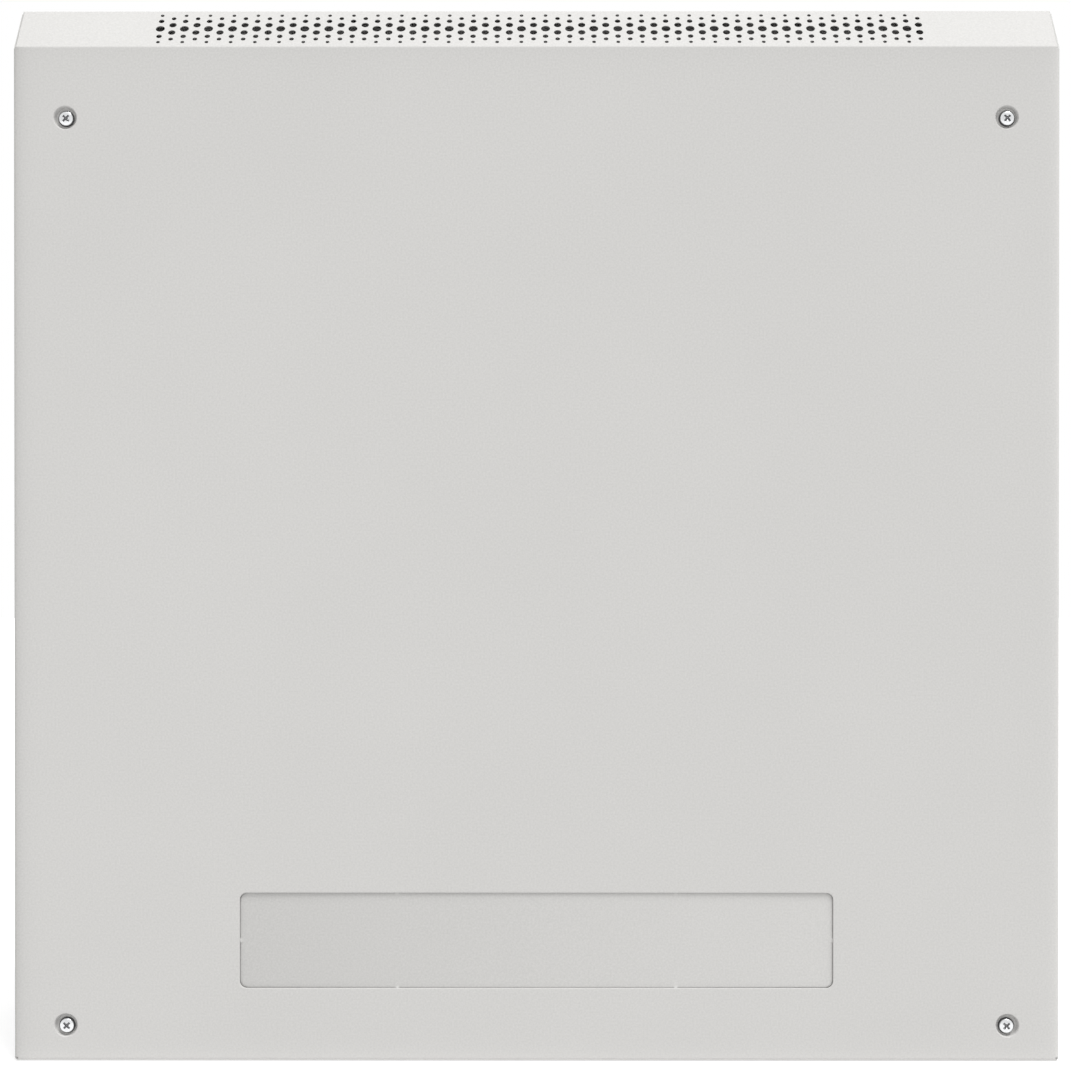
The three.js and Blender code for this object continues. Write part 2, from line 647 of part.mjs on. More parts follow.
// A tray whose edges are folded forwards, inside the four walls.
function addBackPanel() {
  const half = WIDTH / 2 - SEAT_INSET;
  const tall = [SEAT_INSET, HEIGHT - SEAT_INSET];
  const edgeFront = PANEL_REAR_Y - PANEL_EDGE;
  const outline = rectangle([-half, half], tall, BEND_OUTSIDE, 2);
  const hollow = rectangle(
    [-half + SHEET, half - SHEET],
    [tall[0] + SHEET, tall[1] - SHEET],
    BEND_INSIDE,
    2,
  );
  let panel = alongY(outline, [edgeFront, PANEL_REAR_Y]);
  panel = panel.subtract(alongY(hollow, [edgeFront - CUT_OVER, PANEL_FRONT_Y]));
  panel = panel.subtract(alongY(rearEntry(0), THROUGH_PANEL));
  for (const x of around(0, KEYHOLE_SPACING)) {
    for (const z of [KEYHOLE_LOW, HEIGHT - KEYHOLE_TOP_INSET]) {
      panel = panel.subtract(keyhole(x, z));
    }
  }
  for (const x of around(0, BAR_LENGTH - BAR_FOOT)) {
    const hole = circle(x, BAR_MIDDLE, SCREW_RADIUS + THREAD_CLEARANCE);
    panel = panel.subtract(alongY(hole, THROUGH_PANEL));
  }
  add(housing, "back_panel", panel, PAINT);
}

// A rubber channel pushed over the edge of the rear entry.
function addEntryTrim() {
  const air = THREAD_CLEARANCE;
  const front = PANEL_FRONT_Y - air;
  const rear = PANEL_REAR_Y + air;
  const bore = -air - TRIM_WALL;
  const ring = alongY(rearEntry(TRIM_GRIP), [front - TRIM_WALL, rear + TRIM_WALL], [rearEntry(bore)]);
  const groove = alongY(rearEntry(TRIM_GRIP + CUT_OVER), [front, rear], [rearEntry(-air)]);
  add(housing, "entry_edge_trim", ring.subtract(groove), RUBBER);
}

// ---------------------------------------------------------------- cover posts and rivet nuts

// Z-shaped tabs welded in front of the side walls' lips; a screw's axis runs through each.
function addCoverPost({ name, x, z }) {
  const sign = Math.sign(x);
  const tabFront = DISH_FLOOR_Y + SHEET + SEAT_GAP + NUT_FLANGE_THICKNESS + STACK_GAP;
  const footFront = COLLAR_FRONT_Y - SEAT_GAP - POST_SHEET;
  const outward = [
    [POST_WEB_OFFSET + POST_FOOT, footFront + POST_SHEET],
    [POST_WEB_OFFSET, footFront + POST_SHEET],
    [POST_WEB_OFFSET, tabFront + POST_SHEET],
    [-POST_REACH, tabFront + POST_SHEET],
  ];
  const line = outward.map(([a, y]) => [x + sign * a, y]);
  const section = folded(sign < 0 ? line.reverse() : line, POST_SHEET, 2);
  const hole = circle(x, z, NUT_BARREL_RADIUS + THREAD_CLEARANCE, NUT_SIDES);
  const through = [tabFront - CUT_OVER, tabFront + POST_SHEET + CUT_OVER];
  const post = alongZ(section, around(z, POST_WIDTH)).subtract(alongY(hole, through));
  add(housing, `cover_post_${name}`, post, BARE_STEEL);

  const flangeBack = -STACK_GAP;
  const bulgeFront = POST_SHEET + STACK_GAP;
  const end = flangeBack + NUT_BARREL_LENGTH;
  const bore = SCREW_RADIUS + THREAD_CLEARANCE;
  const profile = [
    [bore, flangeBack - NUT_FLANGE_THICKNESS],
    [NUT_FLANGE_RADIUS, flangeBack - NUT_FLANGE_THICKNESS],
    [NUT_FLANGE_RADIUS, flangeBack],
    [NUT_BARREL_RADIUS, flangeBack],
    [NUT_BARREL_RADIUS, bulgeFront],
    [NUT_BULGE_RADIUS, bulgeFront],
    [NUT_BARREL_RADIUS, bulgeFront + NUT_BULGE_LENGTH],
    [NUT_BARREL_RADIUS, end],
    [bore, end],
    [bore, flangeBack - NUT_FLANGE_THICKNESS],
  ];
  add(housing, `rivet_nut_${name}`, turned(profile, NUT_SIDES), BRIGHT_ZINC, [x, tabFront, z]);
}

// ---------------------------------------------------------------- rack brackets and cage nuts

const STUD_X = RACK_OPENING / 2 + BRACKET_FACE + BRACKET_TAB / 2;
const TAB_REAR_Y = PANEL_FRONT_Y - SEAT_GAP;

function rackHoleRows() {
  return Array.from({ length: RACK_UNITS }, (_, unit) => {
    return RACK_HOLE_OFFSETS.map((offset) => RACK_FRONT_Y + unit * RACK_UNIT + offset);
  }).flat();
}

// A mounting face that looks down, a riser beside it and a tab that is bolted to the back panel.
function addRackBracket({ name, sign }) {
  const faceInner = RACK_OPENING / 2;
  const faceOuter = faceInner + BRACKET_FACE;
  const top = RACK_HEIGHT + BRACKET_RISE;
  const riser = faceOuter - BRACKET_SHEET;
  const foldDepth = BEND_INSIDE + BRACKET_SHEET;
  const faceLine = [
    [faceInner, RACK_HEIGHT],
    [faceOuter, RACK_HEIGHT],
    [faceOuter, top],
  ];
  const tabLine = [
    [faceOuter + BRACKET_TAB, TAB_REAR_Y],
    [riser, TAB_REAR_Y],
    [riser, TAB_REAR_Y - BRACKET_TAB],
  ];
  const section = (line) => {
    const sided = line.map(([a, b]) => [sign * a, b]);
    return folded(sign < 0 ? sided.reverse() : sided, BRACKET_SHEET, 2);
  };
  let bracket = alongY(section(faceLine), [RACK_FRONT_Y - BRACKET_END, TAB_REAR_Y - foldDepth]);
  bracket = bracket.add(alongZ(section(tabLine), [RACK_HEIGHT + BRACKET_RELIEF, top]));
  for (const y of rackHoleRows()) {
    const hole = rectangle(around(sign * RACK_HOLE_SPACING * 0.5, RACK_HOLE), around(y, RACK_HOLE));
    bracket = bracket.subtract(alongZ(hole, [RACK_HEIGHT - CUT_OVER, RACK_HEIGHT + 2 * BRACKET_SHEET]));
  }
  for (const height of STUD_HEIGHTS) {
    const slot = rectangle(
      around(sign * STUD_X, SLOT_LENGTH),
      around(RACK_HEIGHT + height, SLOT_WIDTH),
      SLOT_WIDTH * 0.48,
    );
    bracket = bracket.subtract(alongY(slot, [TAB_REAR_Y - 2 * BRACKET_SHEET, TAB_REAR_Y + CUT_OVER]));
  }
  add(housing, `rack_bracket_${name}`, bracket, BARE_STEEL);
}

function addCageNuts() {
  const rest = RACK_HEIGHT + BRACKET_SHEET + STACK_GAP;
  const square = rectangle(around(0, CAGE_LENGTH), around(0, CAGE_WIDTH));
  const neck = rectangle(around(0, CAGE_NECK), around(0, CAGE_NECK));
  const bore = circle(0, 0, CAGE_BORE, NUT_SIDES);
  const grip = alongZ(neck, [-BRACKET_SHEET, CAGE_HEIGHT / 2], [bore]);
  const cage = alongZ(square, [0, CAGE_HEIGHT], [bore]).add(grip);
  const rows = rackHoleRows();
  for (const { name, sign } of SIDES) {
    const x = (sign * RACK_HOLE_SPACING) / 2;
    add(housing, `cage_nut_${name}_front`, cage, BRIGHT_ZINC, [x, rows[0], rest]);
    add(housing, `cage_nut_${name}_rear`, cage, BRIGHT_ZINC, [x, rows[rows.length - 1], rest]);
  }
}

// ---------------------------------------------------------------- studs, nuts and earthing

function addStud(parent, name, x, z, [from, to]) {
  add(parent, name, alongY(circle(0, 0, STUD_RADIUS, NUT_SIDES), [from, to]), BRIGHT_ZINC, [x, 0, z]);
}

function addHexNut(parent, name, x, z, rear) {
  const corner = HEX_ACROSS_FLATS / 2 / Math.cos(Math.PI / 6);
  const bore = circle(0, 0, STUD_RADIUS + THREAD_CLEARANCE, NUT_SIDES);
  const nut = alongY(circle(0, 0, corner, 6), [-HEX_HEIGHT, 0], [bore]);
  add(parent, name, nut, BRIGHT_ZINC, [x, rear, z]);
}

function addFastenings() {
  const panelStud = [PANEL_FRONT_Y - STACK_GAP - STUD_LENGTH, PANEL_FRONT_Y - STACK_GAP];
  for (const { name, sign } of SIDES) {
    STUD_HEIGHTS.forEach((height, i) => {
      const label = `${name}_${i ? "upper" : "lower"}`;
      const z = RACK_HEIGHT + height;
      addStud(housing, `bracket_stud_${label}`, sign * STUD_X, z, panelStud);
      addHexNut(housing, `bracket_nut_${label}`, sign * STUD_X, z, TAB_REAR_Y - BRACKET_SHEET - STACK_GAP);
    });
  }
  const washer = alongY(circle(0, 0, EARTH_WASHER_RADIUS), [-EARTH_WASHER_THICKNESS, 0], [
    circle(0, 0, STUD_RADIUS + THREAD_CLEARANCE, NUT_SIDES),
  ]);
  const washerRear = PANEL_FRONT_Y - SEAT_GAP;
  const nutRear = washerRear - EARTH_WASHER_THICKNESS - STACK_GAP;
  addStud(housing, "earth_stud", EARTH_X, EARTH_HEIGHT, panelStud);
  add(housing, "earth_washer", washer, BARE_STEEL, [EARTH_X, washerRear, EARTH_HEIGHT]);
  addHexNut(housing, "earth_nut", EARTH_X, EARTH_HEIGHT, nutRear);
  const coverStud = [COVER_INSIDE_Y + STACK_GAP, COVER_INSIDE_Y + STACK_GAP + STUD_LENGTH];
  addStud(cover, "cover_earth_stud", EARTH_X, COVER_EARTH_HEIGHT, coverStud);
  addHexNut(cover, "cover_earth_nut", EARTH_X, COVER_EARTH_HEIGHT, coverStud[0] + SEAT_GAP + HEX_HEIGHT);
}

// ---------------------------------------------------------------- cable management

function addLacingBar() {
  const footRear = PANEL_FRONT_Y - SEAT_GAP;
  const stripRear = footRear - BAR_STANDOFF;
  const half = BAR_LENGTH / 2;
  const line = [
    [-half, footRear],
    [BAR_FOOT - half, footRear],
    [BAR_FOOT - half, stripRear],
    [half - BAR_FOOT, stripRear],
    [half - BAR_FOOT, footRear],
    [half, footRear],
  ];
  let bar = alongZ(folded(line.reverse(), BAR_SHEET, 2), around(BAR_MIDDLE, BAR_HEIGHT));
  const [slotLength, slotHeight] = BAR_SLOT;
  const room = BAR_LENGTH - 2 * BAR_FOOT - 2 * slotLength;
  const count = Math.floor(room / BAR_SLOT_PITCH) + 1;
  for (let i = 0; i < count; i++) {
    const x = (i - (count - 1) / 2) * BAR_SLOT_PITCH;
    const slot = rectangle(around(x, slotLength), around(BAR_MIDDLE, slotHeight));
    bar = bar.subtract(alongY(slot, [stripRear - 2 * BAR_SHEET, stripRear + CUT_OVER]));
  }
  const footMiddle = half - BAR_FOOT / 2;
  const bore = SCREW_RADIUS + THREAD_CLEARANCE;
  const seat = footRear - BAR_SHEET - STACK_GAP;
  const screw = turned(
    [
      [0, -BAR_SCREW_HEAD_HEIGHT],
      [BAR_SCREW_HEAD_RADIUS * 0.7, -BAR_SCREW_HEAD_HEIGHT],
      [BAR_SCREW_HEAD_RADIUS, -BAR_SCREW_HEAD_HEIGHT / 2],
      [BAR_SCREW_HEAD_RADIUS, 0],
      [SCREW_RADIUS, 0],
      [SCREW_RADIUS, BAR_SCREW_LENGTH],
      [0, BAR_SCREW_LENGTH],
    ],
    NUT_SIDES,
  );
  for (const { name, sign } of SIDES) {
    const x = sign * footMiddle;
    bar = bar.subtract(alongY(circle(x, BAR_MIDDLE, bore), [seat - CUT_OVER, PANEL_FRONT_Y]));
    add(housing, `lacing_bar_screw_${name}`, screw, BRIGHT_ZINC, [x, seat, BAR_MIDDLE]);
  }
  add(housing, "lacing_bar", bar, BARE_STEEL);
}

// Two rows of bristles that meet over the base entry, each in an aluminium channel.
function addBrushes() {
  const floor = SHEET + SEAT_GAP;
  const middle = (BASE_ENTRY_FRONT_Y + BASE_ENTRY_REAR_Y) / 2;
  const length = BASE_ENTRY_WIDTH + 2 * BRUSH_HOLDER;
  for (const [name, way, edge] of [["front", 1, BASE_ENTRY_FRONT_Y], ["rear", -1, BASE_ENTRY_REAR_Y]]) {
    const outer = edge - way * (BRUSH_HOLDER - BRUSH_SEAT);
    const inner = outer + way * BRUSH_HOLDER;
    const wall = (BRUSH_HOLDER - BRUSH_THICKNESS) / 2 - THREAD_CLEARANCE;
    const deep = outer + way * wall;
    const channel = [
      [outer, floor],
      [inner, floor],
      [inner, floor + wall],
      [deep, floor + wall],
      [deep, floor + BRUSH_HOLDER - wall],
      [inner, floor + BRUSH_HOLDER - wall],
      [inner, floor + BRUSH_HOLDER],
      [outer, floor + BRUSH_HOLDER],
    ];
    add(housing, `brush_holder_${name}`, alongX(channel, around(0, length)), ALUMINIUM);
    const tip = middle - (way * BRUSH_MEETING_GAP) / 2;
    const row = [deep + way * THREAD_CLEARANCE, tip].sort((p, q) => p - q);
    const thickness = around(floor + BRUSH_HOLDER / 2, BRUSH_THICKNESS);
    const bristles = block(around(0, BASE_ENTRY_WIDTH), row, thickness);
    add(housing, `brush_bristles_${name}`, bristles, BRISTLE);
  }
}

// ---------------------------------------------------------------- assembly

addCover();
addStiffener("cover_stiffener_lower", FRONT_HEIGHT * STIFFENER_SHARES[0]);
addStiffener("cover_stiffener_upper", FRONT_HEIGHT * STIFFENER_SHARES[1]);
addCoverScrews();
SIDES.forEach(addSideWall);
addEndWalls();
addBackPanel();
addEntryTrim();
SCREW_SPOTS.forEach(addCoverPost);
SIDES.forEach(addRackBracket);
addCageNuts();
addFastenings();
addLacingBar();
addBrushes();

export default cabinet;
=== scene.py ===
import json
import math

import bmesh
import bpy
import numpy as np
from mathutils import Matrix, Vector

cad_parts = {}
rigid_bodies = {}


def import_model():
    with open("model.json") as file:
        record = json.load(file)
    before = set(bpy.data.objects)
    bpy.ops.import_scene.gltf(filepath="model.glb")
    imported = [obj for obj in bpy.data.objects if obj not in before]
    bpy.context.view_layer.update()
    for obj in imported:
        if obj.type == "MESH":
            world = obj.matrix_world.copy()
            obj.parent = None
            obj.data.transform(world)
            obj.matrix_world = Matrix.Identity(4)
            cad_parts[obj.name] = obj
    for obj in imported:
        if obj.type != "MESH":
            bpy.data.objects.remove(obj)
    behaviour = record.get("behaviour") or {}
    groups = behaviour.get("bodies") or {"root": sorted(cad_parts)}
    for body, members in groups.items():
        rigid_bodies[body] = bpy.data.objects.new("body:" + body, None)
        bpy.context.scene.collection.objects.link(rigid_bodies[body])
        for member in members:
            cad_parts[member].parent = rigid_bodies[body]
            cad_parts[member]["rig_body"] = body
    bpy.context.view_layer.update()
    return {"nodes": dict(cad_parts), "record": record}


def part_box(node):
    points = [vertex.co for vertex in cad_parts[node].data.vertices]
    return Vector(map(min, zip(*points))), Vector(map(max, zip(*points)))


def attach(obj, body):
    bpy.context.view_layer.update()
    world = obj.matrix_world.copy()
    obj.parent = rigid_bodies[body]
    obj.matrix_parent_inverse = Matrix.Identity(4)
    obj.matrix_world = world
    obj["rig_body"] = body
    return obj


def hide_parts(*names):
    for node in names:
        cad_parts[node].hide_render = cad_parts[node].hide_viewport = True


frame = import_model()

# ---------------------------------------------------------------- front cover
# One blank of 1.2 mm steel, punched flat and folded into a shallow hood: front, bevel, top, bottom and
# two side flanges. The outlet holes, the four dished screw seats and the pre-cut plate are punched and
# pressed before folding, and the whole is powder coated in light grey.

MM = 0.001
cover_low, cover_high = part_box("front_cover")
SHEET = 1.2 * MM
FOLD = 1.9 * MM  # outside radius of a fold
FOLD_STEPS = 6
front_y = cover_low.y
rear_y = cover_high.y
half_width = cover_high.x
height = cover_high.z
BEVEL = np.array([0.0, 21.4, 25.2]) * MM  # run and rise of the sloping top edge
bevel_length = np.linalg.norm(BEVEL)
bevel_way = BEVEL / bevel_length
bevel_out = np.array([0.0, -bevel_way[2], bevel_way[1]])
front_height = height - BEVEL[2]
bevel_turn = math.atan2(BEVEL[1], BEVEL[2])
front_setback = FOLD * math.tan(bevel_turn / 2)
top_setback = FOLD * math.tan((math.pi / 2 - bevel_turn) / 2)
flat_x = half_width - FOLD
flat_z = (FOLD, front_height - front_setback)


class Patchwork:
    """Collects patches of points and faces, and joins them into one mesh where their edges meet."""

    def __init__(self):
        self.points, self.faces, self.count = [], [], 0

    def add(self, points, faces):
        points = np.asarray(points, float).reshape(-1, 3)
        self.points.append(points)
        self.faces.extend((np.asarray(faces) + self.count).tolist())
        self.count += len(points)

    def grid(self, points, turned=False, wrap=False, keep=None):
        """Quads between the rows and columns of a (rows, columns, 3) array; wrap closes the columns."""
        rows, columns = points.shape[:2]
        index = np.arange(rows * columns).reshape(rows, columns)
        if wrap:
            index = np.hstack([index, index[:, :1]])
        a, b, c, d = index[:-1, :-1], index[:-1, 1:], index[1:, 1:], index[1:, :-1]
        quads = np.stack([a, b, c, d], axis=-1)
        if keep is not None:
            quads = quads[keep]
        quads = quads.reshape(-1, 4)
        self.add(points, quads[:, ::-1] if turned else quads)

    def mesh(self, name, closed=False):
        """One mesh of all the patches, welded where they meet; closed bodies are turned to face out."""
        mesh = bpy.data.meshes.new(name)
        mesh.from_pydata(np.concatenate(self.points).tolist(), [], self.faces)
        form = bmesh.new()
        form.from_mesh(mesh)
        bmesh.ops.remove_doubles(form, verts=form.verts, dist=2e-6)
        if closed:
            bmesh.ops.recalc_face_normals(form, faces=form.faces)
        form.to_mesh(mesh)
        form.free()
        mesh.shade_smooth()
        return mesh


def arc(start, end, steps):
    return np.linspace(start, end, steps + 1)


def spread(*groups):
    """Sorted positions from several groups, without repeats."""
    return np.unique(np.concatenate([np.ravel(group) for group in groups]).round(7))


def carried(profile, xs):
    """A [y, z] profile carried along X: rows follow the profile, columns the given positions."""
    profile = np.asarray(profile)
    points = np.empty((len(profile), len(xs), 3))
    points[..., 0] = xs[None, :]
    points[..., 1:] = profile[:, None, :]
    return points


# Where the features lie, in the plane of the front
SCREW_NODES = [n for n in sorted(frame["nodes"]) if n.startswith("cover_screw_")]
screw_spots = [(sum(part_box(n), Vector()) / 2) for n in SCREW_NODES]
SEAT_CELL = 12 * MM  # half the square of sheet that a dished seat sits in
PLATE_HALF = 170.3 * MM
PLATE_LOW, PLATE_HIGH = 41.8 * MM, 96.4 * MM
PLATE_CORNER = 4 * MM
PLATE_CELL = 6 * MM
PLATE_SLIT = 0.06 * MM  # what the coat leaves open of the sheared line
PLATE_SET_IN = 0.9 * MM
PLATE_BOW = 0.35 * MM
BRIDGE_X = 80 * MM
BRIDGE_HALF = 0.8 * MM
plate_middle = (PLATE_LOW + PLATE_HIGH) / 2
VENT_PITCH = 6.96 * MM
VENT_COLUMNS = 64
VENT_SHIFT = 1.8 * MM
vent_start = VENT_SHIFT - VENT_COLUMNS / 2 * VENT_PITCH
vent_end = VENT_SHIFT + VENT_COLUMNS / 2 * VENT_PITCH
VENT_REACH = 14 * MM

cell_steps = np.linspace(-SEAT_CELL, SEAT_CELL, 13)
edge_steps = np.linspace(-PLATE_CORNER, PLATE_CELL, 11)
bridge_steps = np.array([-2, -1, 1, 2]) * BRIDGE_HALF
near_fold = np.array([0.8, 1.8, 3.2, 5, 8, 12]) * MM
front_xs = spread(
    np.linspace(-flat_x, flat_x, 31),
    near_fold - flat_x,
    flat_x - near_fold,
    *[spot.x + cell_steps for spot in screw_spots],
    PLATE_HALF + edge_steps,
    -PLATE_HALF - edge_steps,
    BRIDGE_X + bridge_steps,
    -BRIDGE_X + bridge_steps,
    [vent_start, vent_end],
)
front_zs = spread(
    np.linspace(flat_z[0], flat_z[1], 31),
    flat_z[0] + near_fold,
    flat_z[1] - near_fold,
    *[spot.z + cell_steps for spot in screw_spots],
    PLATE_LOW - edge_steps,
    PLATE_HIGH + edge_steps,
    plate_middle + bridge_steps,
)
BEVEL_INSET = 1.2 * MM  # the bevel and the top are one sheet narrower at each end than the front
wide_xs = spread(front_xs, [BEVEL_INSET - half_width, half_width - BEVEL_INSET])


SLACK = 1e-6  # allowed when positions are compared, in metres


def cell_loop(xs, zs, x_range, z_range):
    """The points of a grid that lie on the edge of one of its rectangles, anticlockwise."""
    inner_x = xs[(xs >= x_range[0] - SLACK) & (xs <= x_range[1] + SLACK)]
    inner_z = zs[(zs >= z_range[0] - SLACK) & (zs <= z_range[1] + SLACK)]
    low, high = inner_z[0], inner_z[-1]
    left, right = inner_x[0], inner_x[-1]
    sides = [
        np.stack([inner_x[:-1], np.full(len(inner_x) - 1, low)], 1),
        np.stack([np.full(len(inner_z) - 1, right), inner_z[:-1]], 1),
        np.stack([inner_x[:0:-1], np.full(len(inner_x) - 1, high)], 1),
        np.stack([np.full(len(inner_z) - 1, left), inner_z[:0:-1]], 1),
    ]
    return np.concatenate(sides)


def rings(loop, core_low, core_high, distances):
    """Rings inside a loop: each point is pulled straight towards a core rectangle and stops at the
    given distance from it, so that a core of no size gives circles and any other rounded rectangles."""
    core = np.clip(loop, core_low, core_high)
    ray = loop - core
    ray = ray / np.maximum(np.linalg.norm(ray, axis=1, keepdims=True), 1e-9)
    return core[None] + np.asarray(distances)[:, None, None] * ray[None]


def on_front(flat, set_in):
    """Points of the front plane, moved into the cabinet by set_in."""
    points = np.empty(flat.shape[:-1] + (3,))
    points[..., 0] = flat[..., 0]
    points[..., 1] = front_y + set_in
    points[..., 2] = flat[..., 1]
    return points


cover = Patchwork()

# The flat front, less the squares of the seats and the field of the plate
cells_x = (front_xs[:-1] + front_xs[1:]) / 2
cells_z = (front_zs[:-1] + front_zs[1:]) / 2
field_x, field_z = np.meshgrid(cells_x, cells_z)
plain = np.ones(field_x.shape, bool)
for spot in screw_spots:
    plain &= (abs(field_x - spot.x) > SEAT_CELL) | (abs(field_z - spot.z) > SEAT_CELL)
over_plate = (field_z > PLATE_LOW - PLATE_CELL) & (field_z < PLATE_HIGH + PLATE_CELL)
plain &= (abs(field_x) > PLATE_HALF + PLATE_CELL) | ~over_plate
sheet_x, sheet_z = np.meshgrid(front_xs, front_zs)
cover.grid(on_front(np.stack([sheet_x, sheet_z], -1), 0.0), keep=plain)

# Dished seats: the depth follows half a cosine wave from rim to floor, then lies flat to the screw hole
SEAT_RIM, SEAT_FLOOR, SEAT_DEPTH = 7.0 * MM, 5.4 * MM, 3.0 * MM
SEAT_OFF = 0.35 * MM  # the dies for the seat and for its hole weren't quite in line
SCREW_HOLE = 2.3 * MM
SEAT_RING = 3.9 * MM  # a ring of points that the washer hides
fall = np.linspace(0, 1, 13)
seat_distances = SEAT_RIM + (SEAT_FLOOR - SEAT_RIM) * fall
seat_depths = np.concatenate([SEAT_DEPTH * (1 - np.cos(np.pi * fall)) / 2, [SEAT_DEPTH, SEAT_DEPTH]])
for spot in screw_spots:
    middle = np.array([spot.x, spot.z])
    loop = cell_loop(
        front_xs,
        front_zs,
        (spot.x - SEAT_CELL, spot.x + SEAT_CELL),
        (spot.z - SEAT_CELL, spot.z + SEAT_CELL),
    )
    off = middle + np.array([SEAT_OFF if spot.x > 0 and spot.z < height / 2 else -SEAT_OFF, SEAT_OFF])
    dish = rings(loop, off, off, seat_distances)
    floor_rings = rings(loop, middle, middle, [SEAT_RING, SCREW_HOLE])
    seat = np.concatenate([dish, floor_rings])
    depths = np.broadcast_to(seat_depths[:, None], seat.shape[:2])
    whole = np.concatenate([on_front(loop, 0.0)[None], on_front(seat, depths)])
    cover.grid(whole, wrap=True)

# The plate hangs in its opening by six bridges: rings cross the slit, and only the bridges keep it
loop = cell_loop(
    front_xs,
    front_zs,
    (-PLATE_HALF - PLATE_CELL, PLATE_HALF + PLATE_CELL),
    (PLATE_LOW - PLATE_CELL, PLATE_HIGH + PLATE_CELL),
)
core_low = np.array([-PLATE_HALF + PLATE_CORNER, PLATE_LOW + PLATE_CORNER])
core_high = np.array([PLATE_HALF - PLATE_CORNER, PLATE_HIGH - PLATE_CORNER])
NIB_DEPTH = 0.45 * MM  # of a bridge, behind the front
EDGE_ROUND = 0.42 * MM  # the sheared edge rolls over, and the coat rounds it
roll = np.radians([0, 30, 60, 90])
SHEARED_DEPTH = 1.05 * MM  # the wall of the opening, as deep as the plate's own edge
rim_steps = np.concatenate([[1.6 * MM], EDGE_ROUND * (1 - np.sin(roll)), [0.0]])
outside_steps = PLATE_CORNER + rim_steps
outside_depths = np.concatenate([[0.0], EDGE_ROUND * (1 - np.cos(roll)), [SHEARED_DEPTH]])
plate_edge = PLATE_CORNER - PLATE_SLIT
inside_steps = np.array([plate_edge, plate_edge - 0.1 * MM, plate_edge - 1.2 * MM, 0.0])
inside_depths = np.array([0.1 * MM, 0.0, 0.0, 0.0])
rim_count = len(outside_steps)
ring_flat = rings(loop, core_low, core_high, np.concatenate([outside_steps, inside_steps]))


def plate_depth(x):
    """The plate springs a little: its set-in grows with the square of the distance from the middle."""
    return PLATE_SET_IN + PLATE_BOW * (x / PLATE_HALF) ** 2


ring_depths = np.empty(ring_flat.shape[:2])
ring_depths[:rim_count] = outside_depths[:, None]
ring_depths[rim_count:] = inside_depths[:, None] + plate_depth(ring_flat[rim_count:, :, 0])
# At a bridge the plate's edge stays up near the front, which leaves a small nib
on_bridge = abs(abs(loop[:, 0]) - BRIDGE_X) < BRIDGE_HALF + SLACK
on_bridge |= (abs(loop[:, 1] - plate_middle) < BRIDGE_HALF + SLACK) & (abs(loop[:, 0]) > PLATE_HALF)
ring_depths[rim_count - 1 : rim_count + 2, on_bridge] = NIB_DEPTH
whole = np.concatenate([on_front(loop, 0.0)[None], on_front(ring_flat, ring_depths)])
loop_middle = (loop + np.roll(loop, -1, axis=0)) / 2
at_bridge = abs(abs(loop_middle[:, 0]) - BRIDGE_X) < BRIDGE_HALF
at_bridge |= (abs(loop_middle[:, 1] - plate_middle) < BRIDGE_HALF) & (abs(loop_middle[:, 0]) > PLATE_HALF)
keep = np.ones((len(whole) - 1, len(loop)), bool)
keep[rim_count] = at_bridge
cover.grid(whole, wrap=True, keep=keep)
plate_xs = front_xs[abs(front_xs) <= core_high[0] + SLACK]
plate_zs = front_zs[(front_zs >= core_low[1] - SLACK) & (front_zs <= core_high[1] + SLACK)]
plate_x, plate_z = np.meshgrid(plate_xs, plate_zs)
cover.grid(on_front(np.stack([plate_x, plate_z], -1), plate_depth(plate_x)))

# Bottom fold and flange, carried along X
turn = arc(0, math.pi / 2, FOLD_STEPS)
bottom = np.stack([front_y + FOLD * (1 - np.sin(turn)), FOLD * (1 - np.cos(turn))], 1)
flange_ys = np.linspace(rear_y, front_y + FOLD, 4)[:-1]
flange = np.stack([flange_ys, np.zeros(3)], 1)
cover.grid(carried(np.concatenate([flange, bottom]), front_xs))

# Fold to the bevel, and from the bevel to the top flange
turn = arc(0, bevel_turn, FOLD_STEPS)
lower_fold = np.stack(
    [front_y + FOLD * (1 - np.cos(turn)), flat_z[1] + FOLD * np.sin(turn)],
    1,
)
cover.grid(carried(lower_fold, wide_xs))
turn = arc(bevel_turn, math.pi / 2, FOLD_STEPS)
top_y = front_y + BEVEL[1] + top_setback
upper_fold = np.stack([top_y - FOLD * np.cos(turn), height - FOLD * (1 - np.sin(turn))], 1)
top_ys = np.linspace(top_y, rear_y, 3)[1:]
top_flange = np.stack([top_ys, np.full(2, height)], 1)
cover.grid(carried(np.concatenate([upper_fold, top_flange]), wide_xs))

# The bevel: plain at both ends, a grid of pierced cells between them
bevel_middle = np.array([0.0, front_y, front_height]) + BEVEL / 2
slope_end = bevel_length / 2 - front_setback
slope_top = bevel_length / 2 - top_setback


def on_bevel(flat, set_in=0.0):
    """Points (x, distance up the slope from its middle line), moved in square to the slope."""
    x, up, depth = flat[..., 0], flat[..., 1], np.broadcast_to(set_in, flat.shape[:-1])
    points = bevel_middle + up[..., None] * bevel_way - depth[..., None] * bevel_out
    points[..., 0] += x
    return points


slope_lines = spread([-slope_end], np.arange(-14, 15) * MM, [slope_top])
for xs in (wide_xs[wide_xs <= vent_start + SLACK], wide_xs[wide_xs >= vent_end - SLACK]):
    end_x, end_s = np.meshgrid(xs, slope_lines)
    cover.grid(on_bevel(np.stack([end_x, end_s], -1)))

